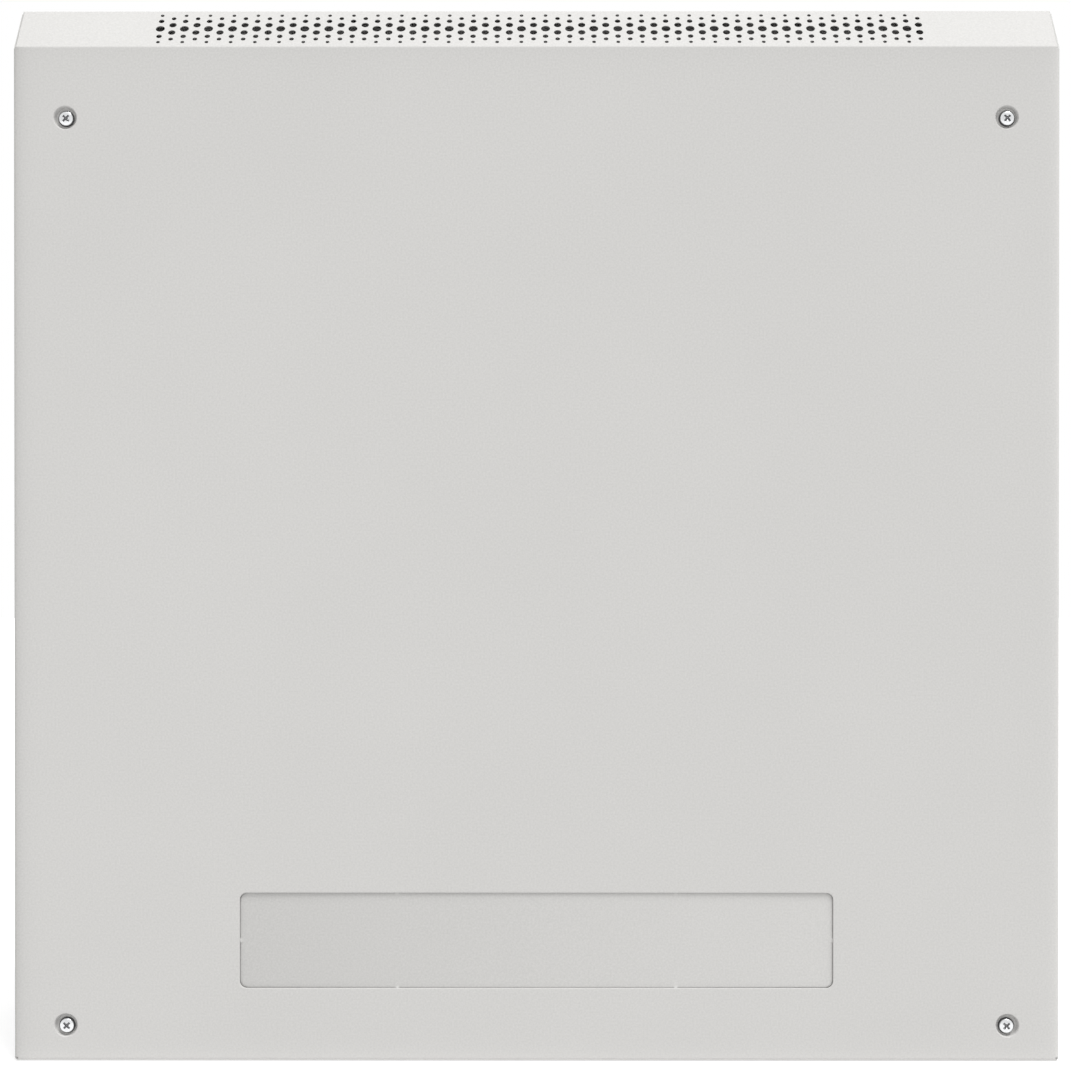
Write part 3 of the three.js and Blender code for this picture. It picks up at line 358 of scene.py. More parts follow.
# Columns of five and of four holes take turns: (lower and upper edge of the cell, centre, diameter)
FIVE_HOLES = [(-14, -10, -12.3, 2), (-10, -4, -7, 3), (-4, 4, 0, 5), (4, 10, 7, 3), (10, 14, 12.3, 2)]
FOUR_HOLES = [(-14, -7, -9.5, 2.5), (-7, 0, -3.45, 4), (0, 7, 3.45, 4), (7, 14, 9.5, 2.5)]
CELL_STEPS = 6
RIM = 0.08 * MM  # the coating rounds the edge of each hole
PUNCH_PLAY = 0.08 * MM  # the die's clearance widens each hole a little
cell_xs = np.linspace(-VENT_PITCH / 2, VENT_PITCH / 2, CELL_STEPS + 1)
for first, holes in ((0, FIVE_HOLES), (1, FOUR_HOLES)):
    columns = vent_start + (np.arange(first, VENT_COLUMNS, 2) + 0.5) * VENT_PITCH
    for low, high, centre, diameter in holes:
        cell_zs = np.arange(low, high + 1) * MM
        loop = cell_loop(cell_xs, cell_zs, (-1, 1), (-1, 1))
        core = np.array([0.0, centre * MM])
        radius = diameter / 2 * MM + PUNCH_PLAY
        hole = rings(loop, core, core, [radius + RIM, radius + RIM * 0.3, radius])
        flat = np.concatenate([loop[None], hole])
        depths = np.array([0.0, 0.0, RIM * 0.3, RIM])[:, None]
        depths = np.broadcast_to(depths, flat.shape[:2])
        for x in columns:
            cover.grid(on_bevel(flat + np.array([x, 0.0]), depths), wrap=True)

# Two narrow strips join the fine edge of the cells to the wide spacing of the folds
fine_xs = vent_start + np.arange(VENT_COLUMNS * CELL_STEPS + 1) * VENT_PITCH / CELL_STEPS
coarse_xs = wide_xs[(wide_xs >= vent_start - SLACK) & (wide_xs <= vent_end + SLACK)]
nearest = np.searchsorted(fine_xs, coarse_xs - VENT_PITCH / CELL_STEPS / 2)
for edge, inner in ((-slope_end, -VENT_REACH), (slope_top, VENT_REACH)):
    for i in range(len(coarse_xs) - 1):
        fine = fine_xs[nearest[i] : nearest[i + 1] + 1][::-1]
        outer = np.stack([coarse_xs[i : i + 2], np.full(2, edge)], 1)
        strip = np.concatenate([outer, np.stack([fine, np.full(len(fine), inner)], 1)])
        if edge > 0:
            strip = strip[::-1]
        cover.add(on_bevel(strip), [list(range(len(strip)))])

# Side folds and flanges: the flange's upper edge follows the bevel just below its sheet
SEAM = 0.15 * MM
turn = arc(0, math.pi / 2, FOLD_STEPS)
side_ys = np.concatenate([front_y + FOLD + np.array([0, 1, 2.5]) * MM, np.linspace(top_y, rear_y, 6)])
side_ys = spread(side_ys)
EDGE_DROP = 2.6 * MM  # the flange's sloping edge stays this far below the bevel's outer face
slope_z = front_height + (side_ys - front_y) * BEVEL[2] / BEVEL[1] - EDGE_DROP
side_top = np.minimum(slope_z, height - SHEET - SEAM)
side_top[0] = flat_z[1]
side_bottom = np.interp(side_ys, side_ys[:3], [FOLD, 0.4 * MM, 0.1 * MM])
share = (front_zs - flat_z[0]) / (flat_z[1] - flat_z[0])
side_z = side_bottom[None, :] + share[:, None] * (side_top - side_bottom)[None, :]
RELIEF_TILT = 58  # degrees from straight ahead, where the drawn corner begins
for side in (-1, 1):
    fold = np.empty((len(front_zs), len(turn), 3))
    fold[..., 0] = side * (flat_x + FOLD * np.sin(turn))[None, :]
    fold[..., 1] = front_y + FOLD * (1 - np.cos(turn))[None, :]
    fold[..., 2] = front_zs[:, None]
    cover.grid(fold, turned=side < 0)
    flange = np.empty((len(front_zs), len(side_ys), 3))
    flange[..., 0] = side * half_width
    flange[..., 1] = side_ys[None, :]
    flange[..., 2] = side_z
    cover.grid(flange, turned=side < 0)
    # The drawn corner below: an eighth of a ball, short of the front by the relief hole
    tilt = np.radians(np.linspace(RELIEF_TILT, 90, 5))[:, None]
    swing = np.radians(np.linspace(0, 90, 7))[None, :]
    ball = np.empty((len(tilt), swing.size, 3))
    ball[..., 0] = side * (flat_x + FOLD * np.sin(tilt) * np.cos(swing))
    ball[..., 1] = front_y + FOLD * (1 - np.cos(tilt)) + 0 * swing
    ball[..., 2] = FOLD * (1 - np.sin(tilt) * np.sin(swing))
    cover.grid(ball, turned=side < 0)

front_cover = bpy.data.objects.new("front_cover_sheet", cover.mesh("front_cover_sheet"))
bpy.context.collection.objects.link(front_cover)
spots = np.empty(len(front_cover.data.vertices) * 3)
front_cover.data.vertices.foreach_get("co", spots)
spots = spots.reshape(-1, 3)
set_in = spots[:, 1] - front_y
on_plate = (abs(spots[:, 0]) < PLATE_HALF) & (spots[:, 2] > PLATE_LOW) & (spots[:, 2] < PLATE_HIGH)
on_plate &= (set_in > PLATE_SET_IN - 0.1 * MM) & (set_in < 2 * MM)
across = spots[:, 0] / PLATE_HALF
# Painted shade on the plate: its colour is a little darker towards the left end, as if its bow turned that
# end from the light
PLATE_PAINTED_SHADE = (-0.031, 0.05, -0.013)  # at the middle, per half width, and per half width squared
tone = PLATE_PAINTED_SHADE[0] + PLATE_PAINTED_SHADE[1] * across + PLATE_PAINTED_SHADE[2] * across**2
tone = np.where(on_plate, tone, 0.0)
# Painted light and shade beside each fold, standing in for the sheet bellying there: the left edge and the
# band under the bevel are painted darker, the right and lower edges lighter
on_face = np.clip(1 - set_in / (10 * MM), 0, 1) * (spots[:, 2] < front_height)
LOWER_FOLD_PAINTED_LIGHT = 0.22
for distance, depth, reach in (  # from the fold, tone at the fold, and how fast it fades
    (spots[:, 0] + flat_x, -0.12, 3.5 * MM),
    (flat_x - spots[:, 0], 0.06, 3 * MM),
    (spots[:, 2] - flat_z[0], 0.065, 4 * MM),
    (flat_z[1] - spots[:, 2], -0.032, 7 * MM),
):
    tone += on_face * depth * np.exp(-np.maximum(distance, 0) / reach)
# The lower fold itself is painted lighter, as light bounced up from the floor
tone += LOWER_FOLD_PAINTED_LIGHT * np.clip(1 - spots[:, 2] / FOLD, 0, 1) * on_face
front_cover.data.attributes.new("tone", "FLOAT", "POINT").data.foreach_set("value", tone)
wall = front_cover.modifiers.new("sheet", "SOLIDIFY")
wall.thickness = SHEET
wall.offset = -1
wall.use_even_offset = True
weighted = front_cover.modifiers.new("normals", "WEIGHTED_NORMAL")
weighted.mode = "FACE_AREA"
weighted.weight = 80
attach(front_cover, "cover")
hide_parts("front_cover")


def powder_coat(name, colour, roughness=0.6):
    """Polyester powder: a satin coat over steel, with orange peel a millimetre or two across, a fine grain,
    and slow drifts of tone and gloss. The attribute tone, where a mesh has it, adds painted light and shade
    to the colour."""
    material = bpy.data.materials.new(name)
    material.use_nodes = True
    nodes, links = material.node_tree.nodes, material.node_tree.links
    shader = nodes["Principled BSDF"]
    shader.inputs["Specular IOR Level"].default_value = 0.32
    place = nodes.new("ShaderNodeTexCoord").outputs["Object"]

    def noise(scale, detail):
        node = nodes.new("ShaderNodeTexNoise")
        node.inputs["Scale"].default_value = scale
        node.inputs["Detail"].default_value = detail
        links.new(place, node.inputs["Vector"])
        return node.outputs["Fac"]

    drift, peel, grain = noise(9, 3), noise(620, 2), noise(950, 2)
    tone = nodes.new("ShaderNodeValToRGB")
    tone.color_ramp.elements[0].position = 0.25
    tone.color_ramp.elements[0].color = [c * 0.985 for c in colour] + [1]
    tone.color_ramp.elements[1].position = 0.75
    tone.color_ramp.elements[1].color = [min(1, c * 1.01) for c in colour] + [1]
    links.new(drift, tone.inputs["Fac"])
    speck = nodes.new("ShaderNodeMapRange")
    speck.inputs["From Min"].default_value = 0.25
    speck.inputs["From Max"].default_value = 0.75
    speck.inputs["To Min"].default_value = 0.93
    speck.inputs["To Max"].default_value = 1.07
    links.new(grain, speck.inputs["Value"])
    # The attribute tone adds painted light and shade to the fine grain of the colour
    painted_light_and_shade = nodes.new("ShaderNodeAttribute")
    painted_light_and_shade.attribute_name = "tone"
    grain_and_painted_light = nodes.new("ShaderNodeMath")
    grain_and_painted_light.operation = "MULTIPLY_ADD"
    grain_and_painted_light.inputs[1].default_value = 1.0
    links.new(painted_light_and_shade.outputs["Fac"], grain_and_painted_light.inputs[0])
    links.new(speck.outputs["Result"], grain_and_painted_light.inputs[2])
    mixed = nodes.new("ShaderNodeMix")
    mixed.data_type = "RGBA"
    mixed.blend_type = "MULTIPLY"
    mixed.inputs["Factor"].default_value = 1
    links.new(tone.outputs["Color"], mixed.inputs["A"])
    links.new(grain_and_painted_light.outputs["Value"], mixed.inputs["B"])
    links.new(mixed.outputs["Result"], shader.inputs["Base Color"])
    gloss = nodes.new("ShaderNodeMapRange")
    gloss.inputs["To Min"].default_value = roughness - 0.04
    gloss.inputs["To Max"].default_value = roughness + 0.05
    links.new(peel, gloss.inputs["Value"])
    links.new(gloss.outputs["Result"], shader.inputs["Roughness"])
    relief = nodes.new("ShaderNodeMath")
    relief.operation = "MULTIPLY_ADD"
    relief.inputs[1].default_value = 0.3
    links.new(grain, relief.inputs[0])
    links.new(peel, relief.inputs[2])
    bump = nodes.new("ShaderNodeBump")
    bump.inputs["Strength"].default_value = 0.35
    bump.inputs["Distance"].default_value = 0.00006
    links.new(relief.outputs["Value"], bump.inputs["Height"])
    links.new(bump.outputs["Normal"], shader.inputs["Normal"])
    return material


cover_paint = powder_coat("light_grey_powder_coat", (0.432, 0.427, 0.417))
front_cover.data.materials.append(cover_paint)

# ---------------------------------------------------------------- cover screws
# Four M4 pan-head screws of bright zinc-plated steel, with a cross recess pressed into each head. The
# head is a low dome with a rounded rim, and the shank carries a rolled thread.


def turned(profile, centre, sides=48, reshape=None):
    """A profile of (radius, y) rows turned about an axis parallel to Y through the centre: one grid of
    profile point by angle. reshape may change the grid's y from its x and z before it is placed."""
    profile = np.asarray(profile, float)
    angle = -np.arange(sides) * 2 * math.pi / sides
    points = np.empty((len(profile), sides, 3))
    points[..., 0] = profile[:, :1] * np.cos(angle)
    points[..., 1] = profile[:, 1:]
    points[..., 2] = profile[:, :1] * np.sin(angle)
    if reshape is not None:
        points = reshape(points)
    return points + np.array(centre)


def dome_rows(radius, crown, rim, steps):
    """The top of a pan head from its pole: an arc of the given crown, then a quarter round at the rim."""
    flat = radius - rim
    out = np.linspace(0, 1, steps)
    top = np.stack([flat * out, crown * out**2], 1)
    turn_rows = np.radians(np.linspace(15, 90, 6))
    side = np.stack([flat + rim * np.sin(turn_rows), crown + rim * (1 - np.cos(turn_rows))], 1)
    return np.concatenate([top, side])


CROWN, CROWN_ROUND = 0.45 * MM, 0.8 * MM  # rise of the head's dome, and radius of its rim
CROSS_HALF = 2.35 * MM
CROSS_ARM = 0.5 * MM
CROSS_DEPTH = 1.35 * MM
CROSS_SLOPE = 0.18 * MM


def cross_recess(points):
    """Sinks the head along two crossed arms turned by 45 degrees; each arm's wall is a short ramp, and
    the arms grow shallower towards their ends."""
    a = (points[..., 0] + points[..., 2]) / math.sqrt(2)
    b = (points[..., 0] - points[..., 2]) / math.sqrt(2)
    depth = np.zeros(a.shape)
    for along, across in ((a, b), (b, a)):
        wall = np.clip((CROSS_ARM - abs(across)) / CROSS_SLOPE + 0.5, 0, 1)
        end = np.clip((CROSS_HALF - abs(along)) / CROSS_SLOPE / 2, 0, 1)
        fall = 1 - 0.45 * np.clip(abs(along) / CROSS_HALF, 0, 1)
        depth = np.maximum(depth, wall * end * fall)
    web = np.clip(1.25 - np.hypot(a, b) / MM, 0, 1)
    depth = np.maximum(depth, web)
    shaped = points.copy()
    shaped[..., 1] += CROSS_DEPTH * depth * (points[..., 1] < 1.2 * MM)
    return shaped


def mark_painted_recess_shade(made, front, centre, reach):
    """Marks how deep each point of a head lies under its crown, for painted shade there."""
    co = np.empty(len(made.data.vertices) * 3)
    made.data.vertices.foreach_get("co", co)
    co = co.reshape(-1, 3)
    radius = np.hypot(co[:, 0] - centre.x, co[:, 2] - centre.z)
    crown = front + CROWN * (radius / reach) ** 2
    depth = np.clip((co[:, 1] - crown) / (0.8 * MM), 0, 1)
    depth = np.where(radius < CROSS_HALF * 1.1, depth, 0)
    made.data.attributes.new("sunk", "FLOAT", "POINT").data.foreach_set("value", depth)


def bright_metal(name, colour, roughness, scratch=0.04, stretch=(1, 1, 1)):
    """Plated or milled metal: roughness and tone wander with a fine noise, drawn out along one axis where
    the piece is brushed or rolled. Where a mesh has the attribute sunk, the colour is darkened there as
    painted shade."""
    material = bpy.data.materials.new(name)
    material.use_nodes = True
    nodes, links = material.node_tree.nodes, material.node_tree.links
    shader = nodes["Principled BSDF"]
    shader.inputs["Metallic"].default_value = 1
    mapping = nodes.new("ShaderNodeMapping")
    mapping.inputs["Scale"].default_value = stretch
    links.new(nodes.new("ShaderNodeTexCoord").outputs["Object"], mapping.inputs["Vector"])
    fine = nodes.new("ShaderNodeTexNoise")
    fine.inputs["Scale"].default_value = 900
    fine.inputs["Detail"].default_value = 3
    cloud = nodes.new("ShaderNodeTexNoise")
    cloud.inputs["Scale"].default_value = 60
    cloud.inputs["Detail"].default_value = 2
    for node in (fine, cloud):
        links.new(mapping.outputs["Vector"], node.inputs["Vector"])
    tone = nodes.new("ShaderNodeValToRGB")
    tone.color_ramp.elements[0].position = 0.3
    tone.color_ramp.elements[0].color = [c * 0.9 for c in colour] + [1]
    tone.color_ramp.elements[1].position = 0.7
    tone.color_ramp.elements[1].color = list(colour) + [1]
    links.new(cloud.outputs["Fac"], tone.inputs["Fac"])
    # Painted shade: the attribute sunk darkens the colour towards dark grey inside a cross recess
    sunk = nodes.new("ShaderNodeAttribute")
    sunk.attribute_name = "sunk"
    painted_recess_shade = nodes.new("ShaderNodeMix")
    painted_recess_shade.data_type = "RGBA"
    painted_recess_shade.inputs["B"].default_value = (0.16, 0.16, 0.165, 1)
    links.new(sunk.outputs["Fac"], painted_recess_shade.inputs["Factor"])
    links.new(tone.outputs["Color"], painted_recess_shade.inputs["A"])
    links.new(painted_recess_shade.outputs["Result"], shader.inputs["Base Color"])
    gloss = nodes.new("ShaderNodeMapRange")
    gloss.inputs["To Min"].default_value = roughness - 0.08
    gloss.inputs["To Max"].default_value = roughness + 0.1
    links.new(fine.outputs["Fac"], gloss.inputs["Value"])
    links.new(gloss.outputs["Result"], shader.inputs["Roughness"])
    bump = nodes.new("ShaderNodeBump")
    bump.inputs["Strength"].default_value = scratch
    bump.inputs["Distance"].default_value = 0.0001
    links.new(fine.outputs["Fac"], bump.inputs["Height"])
    links.new(bump.outputs["Normal"], shader.inputs["Normal"])
    return material


bright_zinc = bright_metal("bright_zinc_plate", (0.76, 0.77, 0.78), 0.24)


def piece(node, patches, material, crease, closed=True):
    """An object made of a patchwork in place of a node; edges that turn more than crease stay crisp."""
    made = bpy.data.objects.new(node + "_piece", patches.mesh(node + "_piece", closed))
    bpy.context.collection.objects.link(made)
    made.data.materials.append(material)
    made.data.set_sharp_from_angle(angle=math.radians(crease))
    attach(made, frame["nodes"][node]["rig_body"])
    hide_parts(node)
    return made


SCREW_RADIUS = 2.0 * MM
THREAD_PITCH = 0.7 * MM
THREAD_DEPTH = 0.36 * MM
HEAD_ROWS, HEAD_SIDES = 34, 144  # fine enough for the crisp walls of the cross


def shank(rows, radius, pitch, depth, sides):
    """A thread: the radius follows a triangle wave of height plus angle, so its ridge climbs one pitch a
    turn, and it fades out at both ends."""
    angle = -np.arange(sides) * 2 * math.pi / sides
    wave = (rows[:, None] / pitch + angle[None, :] / (2 * math.pi)) % 1
    ridge = 1 - abs(2 * wave - 1)
    span = rows[-1] - rows[0]
    ends = np.clip(np.minimum(rows - rows[0], (rows[-1] - rows) * 0.7) / (0.1 * span), 0, 1)
    local = radius - depth * (1 - ridge * ends[:, None])
    points = np.empty((len(rows), sides, 3))
    points[..., 0] = local * np.cos(angle)
    points[..., 1] = rows[:, None]
    points[..., 2] = local * np.sin(angle)
    return points


def cross_head_screw(node, head_height):
    """A head turned from pole to seat with the cross sunk in it, a threaded shank and a blunt tip."""
    low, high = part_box(node)
    middle = (low + high) / 2
    length = high.y - low.y
    head_radius = (high.x - low.x) / 2
    edge = 0.1 * MM
    rows = dome_rows(head_radius, CROWN, CROWN_ROUND, HEAD_ROWS)
    seat = [
        (head_radius, head_height - edge),
        (head_radius - edge, head_height),
        (SCREW_RADIUS * 0.8, head_height),
    ]
    place = np.array([middle.x, low.y, middle.z])
    patches = Patchwork()
    patches.grid(turned(np.concatenate([rows, seat]), place, HEAD_SIDES, cross_recess), wrap=True)
    thread = np.arange(head_height, length - 0.6 * MM, THREAD_PITCH / 8)
    thread = shank(thread, SCREW_RADIUS, THREAD_PITCH, THREAD_DEPTH, 24) + place
    tip = np.array([(1.2 * MM, length - 0.35 * MM), (0.6 * MM, length), (0.0, length)])
    patches.grid(np.concatenate([thread, turned(tip, place, 24)]), wrap=True)
    screw = piece(node, patches, bright_zinc, 40, closed=False)
    mark_painted_recess_shade(screw, low.y, middle, head_radius)


for node in SCREW_NODES:
    cross_head_screw(node, 2.2 * MM)

# ---------------------------------------------------------------- retaining washers
# Black nylon washers under the heads, punched from strip: they grip the thread relief, so that the
# screws stay with the cover when it is taken off.


def plastic(name, colour, roughness, scale=400, depth=0.00004):
    """Moulded or punched polymer: a faint grain in tone, gloss and relief."""
    material = bpy.data.materials.new(name)
    material.use_nodes = True
    nodes, links = material.node_tree.nodes, material.node_tree.links
    shader = nodes["Principled BSDF"]
    grain = nodes.new("ShaderNodeTexNoise")
    grain.inputs["Scale"].default_value = scale
    grain.inputs["Detail"].default_value = 4
    links.new(nodes.new("ShaderNodeTexCoord").outputs["Object"], grain.inputs["Vector"])
    tone = nodes.new("ShaderNodeValToRGB")
    tone.color_ramp.elements[0].color = [c * 0.7 for c in colour] + [1]
    tone.color_ramp.elements[1].color = [c * 1.3 for c in colour] + [1]
    links.new(grain.outputs["Fac"], tone.inputs["Fac"])
    links.new(tone.outputs["Color"], shader.inputs["Base Color"])
    gloss = nodes.new("ShaderNodeMapRange")
    gloss.inputs["To Min"].default_value = roughness - 0.08
    gloss.inputs["To Max"].default_value = roughness + 0.08
    links.new(grain.outputs["Fac"], gloss.inputs["Value"])
    links.new(gloss.outputs["Result"], shader.inputs["Roughness"])
    bump = nodes.new("ShaderNodeBump")
    bump.inputs["Strength"].default_value = 0.5
    bump.inputs["Distance"].default_value = depth
    links.new(grain.outputs["Fac"], bump.inputs["Height"])
    links.new(bump.outputs["Normal"], shader.inputs["Normal"])
    return material


black_nylon = plastic("black_nylon", (0.022, 0.022, 0.024), 0.5)
WASHER_BORE = 2.15 * MM
WASHER_ROUND = 0.12 * MM
for node in [n for n in sorted(frame["nodes"]) if n.startswith("screw_washer_")]:
    low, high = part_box(node)
    middle = (low + high) / 2
    radius, thick, edge = (high.x - low.x) / 2, high.y - low.y, WASHER_ROUND
    profile = [
        (WASHER_BORE, edge), (WASHER_BORE + edge, 0), (radius - edge, 0), (radius, edge),
        (radius, thick - edge), (radius - edge, thick), (WASHER_BORE + edge, thick),
        (WASHER_BORE, thick - edge), (WASHER_BORE, edge),
    ]
    patches = Patchwork()
    patches.grid(turned(profile, (middle.x, low.y, middle.z), 64), wrap=True)
    piece(node, patches, black_nylon, 50)

# ---------------------------------------------------------------- rivet nuts
# Four steel rivet nuts in the tabs of the cover posts: a thin flange in front of the tab, a barrel
# through it, and behind it the fold that the setting tool pulled up. The cover screws bite in them.

# (radius, distance behind the flange's face), in millimetres
RIVET_NUT = [
    (2.15, 0.45), (2.6, 0), (4.35, 0), (4.6, 0.25), (4.6, 0.6), (4.4, 0.8), (3, 0.8), (3, 2.5),
    (3.35, 2.5), (3.85, 2.75), (4, 3.15), (3.8, 3.6), (3.3, 4.1), (3.05, 4.4), (3, 4.8), (3, 9.55),
    (2.8, 9.8), (2.5, 9.8), (2.15, 9.45), (2.15, 0.45),
]
for node in [n for n in sorted(frame["nodes"]) if n.startswith("rivet_nut_")]:
    low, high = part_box(node)
    middle = (low + high) / 2
    patches = Patchwork()
    patches.grid(turned(np.array(RIVET_NUT) * MM, (middle.x, low.y, middle.z), 48), wrap=True)
    piece(node, patches, bright_zinc, 35)

# ---------------------------------------------------------------- studs and nuts
# M6 studs welded to the back panel and to the cover, each with a hexagon nut: four pairs hold the rack
# brackets, and one pair in the housing and one in the cover take the earth wires. The housing's earth
# nut sits on a washer with external teeth that bite through the paint.

STUD_RADIUS = 3 * MM
STUD_PITCH = 1 * MM
STUD_THREAD = 0.55 * MM
for node in [n for n in sorted(frame["nodes"]) if "_stud" in n]:
    low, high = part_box(node)
    length = high.y - low.y
    place = np.array([(low.x + high.x) / 2, low.y, (low.z + high.z) / 2])
    thread = np.arange(0.5 * MM, length - 0.5 * MM, STUD_PITCH / 8)
    thread = shank(thread, STUD_RADIUS, STUD_PITCH, STUD_THREAD, 24) + place
    start = turned([(0.0, 0.0), (2.1 * MM, 0.0)], place, 24)
    end = turned([(2.1 * MM, length), (0.0, length)], place, 24)
    patches = Patchwork()
    patches.grid(np.concatenate([start, thread, end]), wrap=True)
    piece(node, patches, bright_zinc, 60)


def hexagon_nut(across_flats, thick, bore, sides=72):
    """Rows of points round the Y axis. A flat's distance from the axis grows with one over the cosine
    of the angle from its middle; a cone of 30 degrees cuts both ends, so each flat ends in an arc."""
    angle = -np.arange(sides) * 2 * math.pi / sides
    wall = across_flats / 2 / np.cos(angle % (math.pi / 3) - math.pi / 6)
    crown = across_flats / 2 * 0.97
    drop = (wall - crown) * math.tan(math.radians(30))
    edge = 0.5 * MM
    even = np.ones(sides)
    rows = [
        (bore * even, edge * even),
        ((bore + edge) * even, 0 * even),
        (crown * even, 0 * even),
        (wall, drop),
        (wall, thick - drop),
        (crown * even, thick * even),
        ((bore + edge) * even, thick * even),
        (bore * even, (thick - edge) * even),
        (bore * even, edge * even),
    ]
    return np.stack([np.stack([r * np.cos(angle), y, r * np.sin(angle)], -1) for r, y in rows])


ACROSS_FLATS, NUT_BORE = 10 * MM, 3.15 * MM
HEXAGON_NUTS = ("bracket_nut", "earth_nut", "cover_earth_nut")
for node in [n for n in sorted(frame["nodes"]) if n.startswith(HEXAGON_NUTS)]:
    low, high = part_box(node)
    place = np.array([(low.x + high.x) / 2, low.y, (low.z + high.z) / 2])
    patches = Patchwork()
    patches.grid(hexagon_nut(ACROSS_FLATS, high.y - low.y, NUT_BORE) + place, wrap=True)
    piece(node, patches, bright_zinc, 25)

TEETH = 12
TOOTH_ROOT, TOOTH_TIP = 4.9 * MM, 6.5 * MM


def toothed(points):
    """Outside the ring the radius follows a steep wave of the angle, and the teeth lean out of the flat."""
    angle = np.arctan2(points[..., 2], points[..., 0])
    radius = np.hypot(points[..., 0], points[..., 2])
    tooth = np.clip(2.5 * np.cos(TEETH * angle) + 0.6, 0, 1)
    out = np.clip((radius - TOOTH_ROOT) / (TOOTH_TIP - TOOTH_ROOT), 0, 1)
    cut = 1 - out * (1 - tooth) * (TOOTH_TIP - TOOTH_ROOT) / TOOTH_TIP
    lean = 0.22 * MM * out * np.sin(TEETH * angle)
    return np.stack([points[..., 0] * cut, points[..., 1] + lean, points[..., 2] * cut], -1)


low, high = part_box("earth_washer")
middle = (low + high) / 2
# (radius, distance behind the front of its teeth), in millimetres
EARTH_WASHER = [
    (3.15, 0.25), (4.9, 0.25), (5.7, 0.25), (6.5, 0.25), (6.5, 0.75), (5.7, 0.75), (4.9, 0.75),
    (3.15, 0.75), (3.15, 0.25),
]
place = (middle.x, low.y, middle.z)
patches = Patchwork()
patches.grid(turned(np.array(EARTH_WASHER) * MM, place, 12 * TEETH, toothed), wrap=True)
sheet_zinc = bright_metal("zinc_plated_sheet", (0.66, 0.68, 0.70), 0.42, 0.08)
piece("earth_washer", patches, sheet_zinc, 35)

# ---------------------------------------------------------------- cage nuts
# A square nut held loosely in a cage of thin spring steel; the cage's two tongues go down through a
# square hole of the rack bracket. One stands in the outer hole at each end of both brackets.

CAGE_SHEET = 0.45 * MM
# Half of the cage's section, (x, height over the bracket's face), in millimetres
CAGE_LINE = [
    (3.1, 4.15), (5.5, 4.15), (5.75, 4.05), (5.85, 3.8), (5.85, 0.6), (5.75, 0.35), (5.5, 0.25),
    (4.6, 0.25), (4.4, 0.15), (4.3, -0.05), (4.3, -1.7),
]
NUT_HALF, NUT_LOW, NUT_HIGH = 4.9, 0.55, 3.8  # in millimetres


def square_nut(sides=96):
    """Rows round the Z axis: the outline is a superellipse of the twelfth power, the bore a circle."""
    angle = np.arange(sides) * 2 * math.pi / sides
    outline = (abs(np.cos(angle)) ** 12 + abs(np.sin(angle)) ** 12) ** (-1 / 12)
    rows = [
        (2.6, 0, NUT_LOW + 0.4), (3, 0, NUT_LOW), (0, NUT_HALF - 0.3, NUT_LOW), (0, NUT_HALF, NUT_LOW + 0.3),
        (0, NUT_HALF, NUT_HIGH - 0.3), (0, NUT_HALF - 0.3, NUT_HIGH), (3, 0, NUT_HIGH),
        (2.6, 0, NUT_HIGH - 0.4), (2.6, 0, NUT_LOW + 0.4),
    ]
    radius = np.array([circle + square * outline for circle, square, z in rows]) * MM
    level = np.array([z for circle, square, z in rows])[:, None] * MM + 0 * angle
    return np.stack([radius * np.cos(angle), radius * np.sin(angle), level], -1)


for node in [n for n in sorted(frame["nodes"]) if n.startswith("cage_nut_")]:
    low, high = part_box(node)
    seat = high.z - 4.4 * MM
    place = np.array([(low.x + high.x) / 2, (low.y + high.y) / 2, seat])
    patches = Patchwork()
    patches.grid(square_nut() + place, wrap=True)
    piece(node, patches, bright_zinc, 30)
    line = np.array(CAGE_LINE) * MM
    cage = Patchwork()
    for side in (-1, 1):
        strip = np.empty((len(line), 2, 3))
        strip[..., 0] = side * line[:, :1]
        strip[..., 1] = np.array([-4.2, 4.2]) * MM
        strip[..., 2] = line[:, 1:]
        cage.grid(strip + place, turned=side > 0)
    clip = bpy.data.objects.new(node + "_cage", cage.mesh(node + "_cage"))
    bpy.context.collection.objects.link(clip)
    clip.data.materials.append(sheet_zinc)
    wall = clip.modifiers.new("sheet", "SOLIDIFY")
    wall.thickness = CAGE_SHEET
    wall.offset = 0
    wall.use_even_offset = True
    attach(clip, frame["nodes"][node]["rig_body"])

# ---------------------------------------------------------------- lacing bar screws
# Two short pan-head screws hold the lacing bar's feet to the back panel, with the cover screws' cross.

for node in ("lacing_bar_screw_left", "lacing_bar_screw_right"):
    cross_head_screw(node, 2.4 * MM)

# ---------------------------------------------------------------- edge trim of the rear entry
# A black rubber channel pushed over the cut edge of the rear entry, so that cables don't chafe: two
# rounded lips grip the sheet and a round back covers its edge. Its ends butt at the lower middle.

trim_low, trim_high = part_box("entry_edge_trim")
TRIM_REACH = 4 * MM
ENTRY_CORNER = 10 * MM
trim_y = (trim_low.y + trim_high.y) / 2
entry_x = trim_high.x - TRIM_REACH - ENTRY_CORNER
entry_z = (trim_high.z - trim_low.z) / 2 - TRIM_REACH - ENTRY_CORNER
entry_middle = (trim_high.z + trim_low.z) / 2
LIP, BACK, GRIP = 0.55 * MM, 1.85 * MM, 0.75 * MM
swing = np.radians(np.linspace(-90, 90, 9))
rear_lip = np.stack([TRIM_REACH - LIP + LIP * np.cos(swing), BACK - LIP + LIP * np.sin(swing)], 1)
bend = np.radians(np.linspace(90, 270, 17))
back = np.stack([0.6 * MM + BACK * np.cos(bend), BACK * np.sin(bend)], 1)
groove = np.array([(-0.15 * MM, -GRIP), (-0.15 * MM, GRIP)])
front_lip = (rear_lip * (1, -1))[::-1]
trim_section = np.concatenate([rear_lip, back, front_lip, groove])


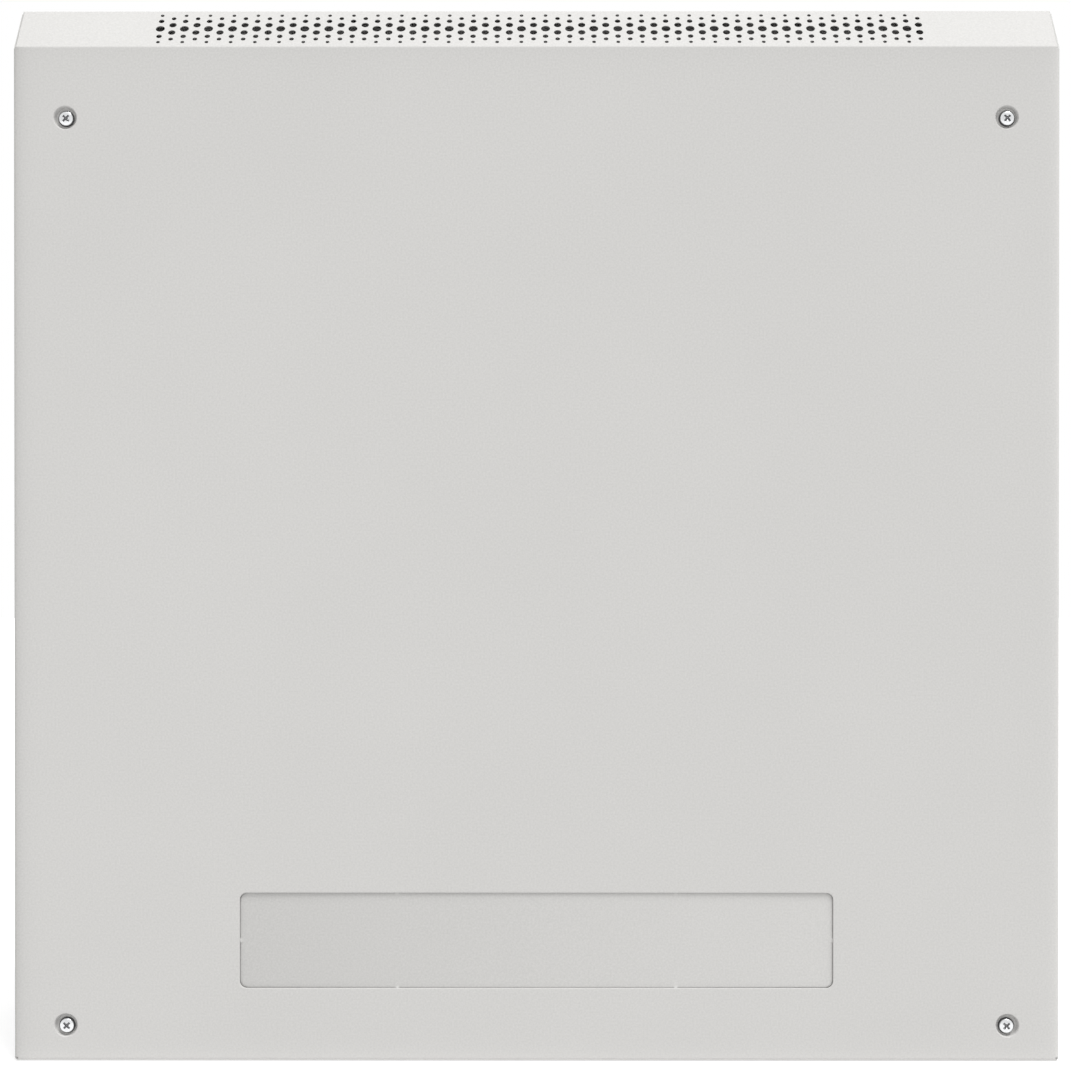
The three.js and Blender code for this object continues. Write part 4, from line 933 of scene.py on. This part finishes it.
def rounded_path(half_x, half_z, radius, steps=14):
    """Points and outward directions along a rectangle with quarter-circle corners, from its lower
    middle and back to it."""
    turn = np.radians(np.linspace(-90, 270, 4 * steps + 1))
    corner = np.repeat(np.array([(1, -1), (1, 1), (-1, 1), (-1, -1)]), steps + 1, axis=0)
    turn = np.concatenate([turn[i * steps : (i + 1) * steps + 1] for i in range(4)])
    out = np.stack([np.cos(turn), np.sin(turn)], 1)
    path = corner * (half_x, half_z) + radius * out
    seam = np.array([[0.0, -half_z - radius]])
    down = np.array([[0.0, -1.0]])
    return np.concatenate([seam, path, seam]), np.concatenate([down, out, down])


path, out = rounded_path(entry_x, entry_z, ENTRY_CORNER)
# Beside the butt joint the section shrinks a little, as a cut end of rubber does
butt = np.array([(0.12 * MM, 0.0), (0.6 * MM, 0.0)])
path = np.concatenate([path[:1] + butt, path[1:-1], path[-1:] - butt[::-1]])
out = np.concatenate([out[:1], out[:1], out[1:-1], out[-1:], out[-1:]])
shrink = np.ones(len(path))
shrink[[0, -1]] = 0.93
spine = 1.2 * MM  # the line of the section that keeps its place
reach = spine + (trim_section[None, :, 0] - spine) * shrink[:, None]
trim = np.empty((len(path), len(trim_section), 3))
trim[..., 0] = path[:, None, 0] + reach * out[:, None, 0]
trim[..., 1] = trim_y + trim_section[None, :, 1] * shrink[:, None]
trim[..., 2] = entry_middle + path[:, None, 1] + reach * out[:, None, 1]
patches = Patchwork()
patches.grid(trim, wrap=True)
for end in (0, -1):
    patches.add(trim[end], [np.arange(len(trim_section))])
black_rubber = plastic("black_rubber", (0.016, 0.016, 0.016), 0.68, 250, 0.0001)
piece("entry_edge_trim", patches, black_rubber, 50)

# ---------------------------------------------------------------- brushes of the base entry
# Two strips of black nylon bristle, each clamped in an aluminium channel; their tips nearly meet, and
# cables push through between them.

BRISTLE_STEP = 0.5 * MM
BRISTLE_ROWS = 6
BRISTLE_RADIUS = 0.2 * MM
dice = np.random.default_rng(19)
bristle = plastic("nylon_bristle", (0.018, 0.018, 0.02), 0.55)
for node, way in (("brush_bristles_front", 1), ("brush_bristles_rear", -1)):
    low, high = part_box(node)
    across = np.arange(low.x + BRISTLE_STEP, high.x - BRISTLE_STEP, BRISTLE_STEP)
    layer = np.linspace(-0.9, 0.9, BRISTLE_ROWS) * MM
    root_x, root_z = [grid.ravel() for grid in np.meshgrid(across, layer)]
    count = len(root_x)
    root_x = root_x + (root_z / layer[-1] * 0.2 + dice.uniform(-0.25, 0.25, count)) * BRISTLE_STEP
    reach = (high.y - low.y) - dice.uniform(0, 0.8, count) * MM
    lean = dice.normal(0, 0.35, count) * MM
    droop = dice.uniform(0.1, 0.5, count) * MM
    # A bristle leans sideways in step with its length and droops with its square; it thins to its tip
    share = np.array([0.0, 0.5, 1.0])[:, None]
    line = np.stack([
        root_x + lean * share,
        (low.y if way > 0 else high.y) + way * reach * share,
        (low.z + high.z) / 2 + root_z * (1 + 0.25 * share) - droop * share**2,
    ], -1)
    corner = np.arange(4) * math.pi / 2
    thin = BRISTLE_RADIUS * np.array([1.0, 0.95, 0.6])[:, None, None]
    strand = np.repeat(line[:, :, None, :], 4, axis=2)
    strand[..., 0] += thin * np.cos(corner)
    strand[..., 2] += thin * np.sin(corner)
    strand = strand.transpose(1, 0, 2, 3)  # bristle, ring, corner, coordinate
    index = np.arange(count * 12).reshape(count, 3, 4)
    after = np.roll(index, -1, axis=2)
    walls = np.stack([index[:, :-1], after[:, :-1], after[:, 1:], index[:, 1:]], -1).reshape(-1, 4)
    ends = np.concatenate([index[:, 0, ::-1], index[:, 2]])
    patches = Patchwork()
    patches.add(strand, np.concatenate([walls, ends]))
    piece(node, patches, bristle, 60)

# ---------------------------------------------------------------- finishes of the carried-over pieces
# Walls, back panel, posts, brackets, lacing bar, brush holders and stiffeners keep their plain folded
# shapes. The painted ones get the same powder as the cover, from another batch for the housing.

housing_paint = powder_coat("housing_powder_coat", (0.426, 0.421, 0.412))
drawn_aluminium = bright_metal("drawn_aluminium", (0.78, 0.79, 0.80), 0.36, 0.1, (0.05, 1, 1))
looks = {
    "cover_paint": cover_paint,
    "housing_paint": housing_paint,
    "bare_steel": sheet_zinc,
    "bright_zinc": bright_zinc,
    "aluminium": drawn_aluminium,
    "nylon": black_nylon,
    "rubber": black_rubber,
    "bristle": bristle,
}
for part in frame["record"]["subparts"]:
    data = frame["nodes"][part["node"]].data
    data.materials.clear()
    data.materials.append(looks[part["material_slot"]])

# ---------------------------------------------------------------- floor, light and camera
# A pale matt floor that glows a little, so that it melts into the white surroundings; one large soft
# light from above and the right; and a camera straight in front, at mid height.

floor_mesh = bpy.data.meshes.new("floor")
FLOOR = 6.0  # half its side, in metres
FLOOR_DROP = 0.5 * MM
corners = np.array([(-1, -1, 0), (1, -1, 0), (1, 1, 0), (-1, 1, 0)]) * FLOOR
floor_mesh.from_pydata(corners.tolist(), [], [(0, 1, 2, 3)])
floor = bpy.data.objects.new("floor", floor_mesh)
bpy.context.collection.objects.link(floor)
floor.location.z = -FLOOR_DROP
pale = bpy.data.materials.new("pale_floor")
pale.use_nodes = True
floor_shader = pale.node_tree.nodes["Principled BSDF"]
floor_shader.inputs["Base Color"].default_value = (0.4, 0.4, 0.4, 1)
floor_shader.inputs["Roughness"].default_value = 1.0
floor_shader.inputs["Emission Color"].default_value = (1, 1, 1, 1)
floor_shader.inputs["Emission Strength"].default_value = 0.6
floor_mesh.materials.append(pale)

world = bpy.data.worlds.new("studio")
bpy.context.scene.world = world
world.use_nodes = True
world.node_tree.nodes["Background"].inputs["Color"].default_value = (1, 1, 1, 1)
world.node_tree.nodes["Background"].inputs["Strength"].default_value = 1.0

key_light = bpy.data.lights.new("key", "SUN")
key_light.energy = 3.05
key_light.angle = math.radians(24)
key = bpy.data.objects.new("key", key_light)
bpy.context.collection.objects.link(key)
KEY_WAY = Vector((0.26, -0.32, 0.91))  # from the object towards the light: above, and to the right
key.rotation_euler = KEY_WAY.to_track_quat("Z", "Y").to_euler()

camera_data = bpy.data.cameras.new("camera")
camera_data.lens = 74.69
camera_data.sensor_width = 36
camera = bpy.data.objects.new("camera", camera_data)
bpy.context.collection.objects.link(camera)
CAMERA_DISTANCE = 1.2748
camera.location = (0.0027, front_y - CAMERA_DISTANCE, 0.3077)
camera_target = Vector((-0.0005, front_y, 0.3017))
camera.rotation_euler = (camera_target - camera.location).to_track_quat("-Z", "Y").to_euler()
bpy.context.scene.camera = camera
bpy.context.scene.view_settings.view_transform = "Standard"
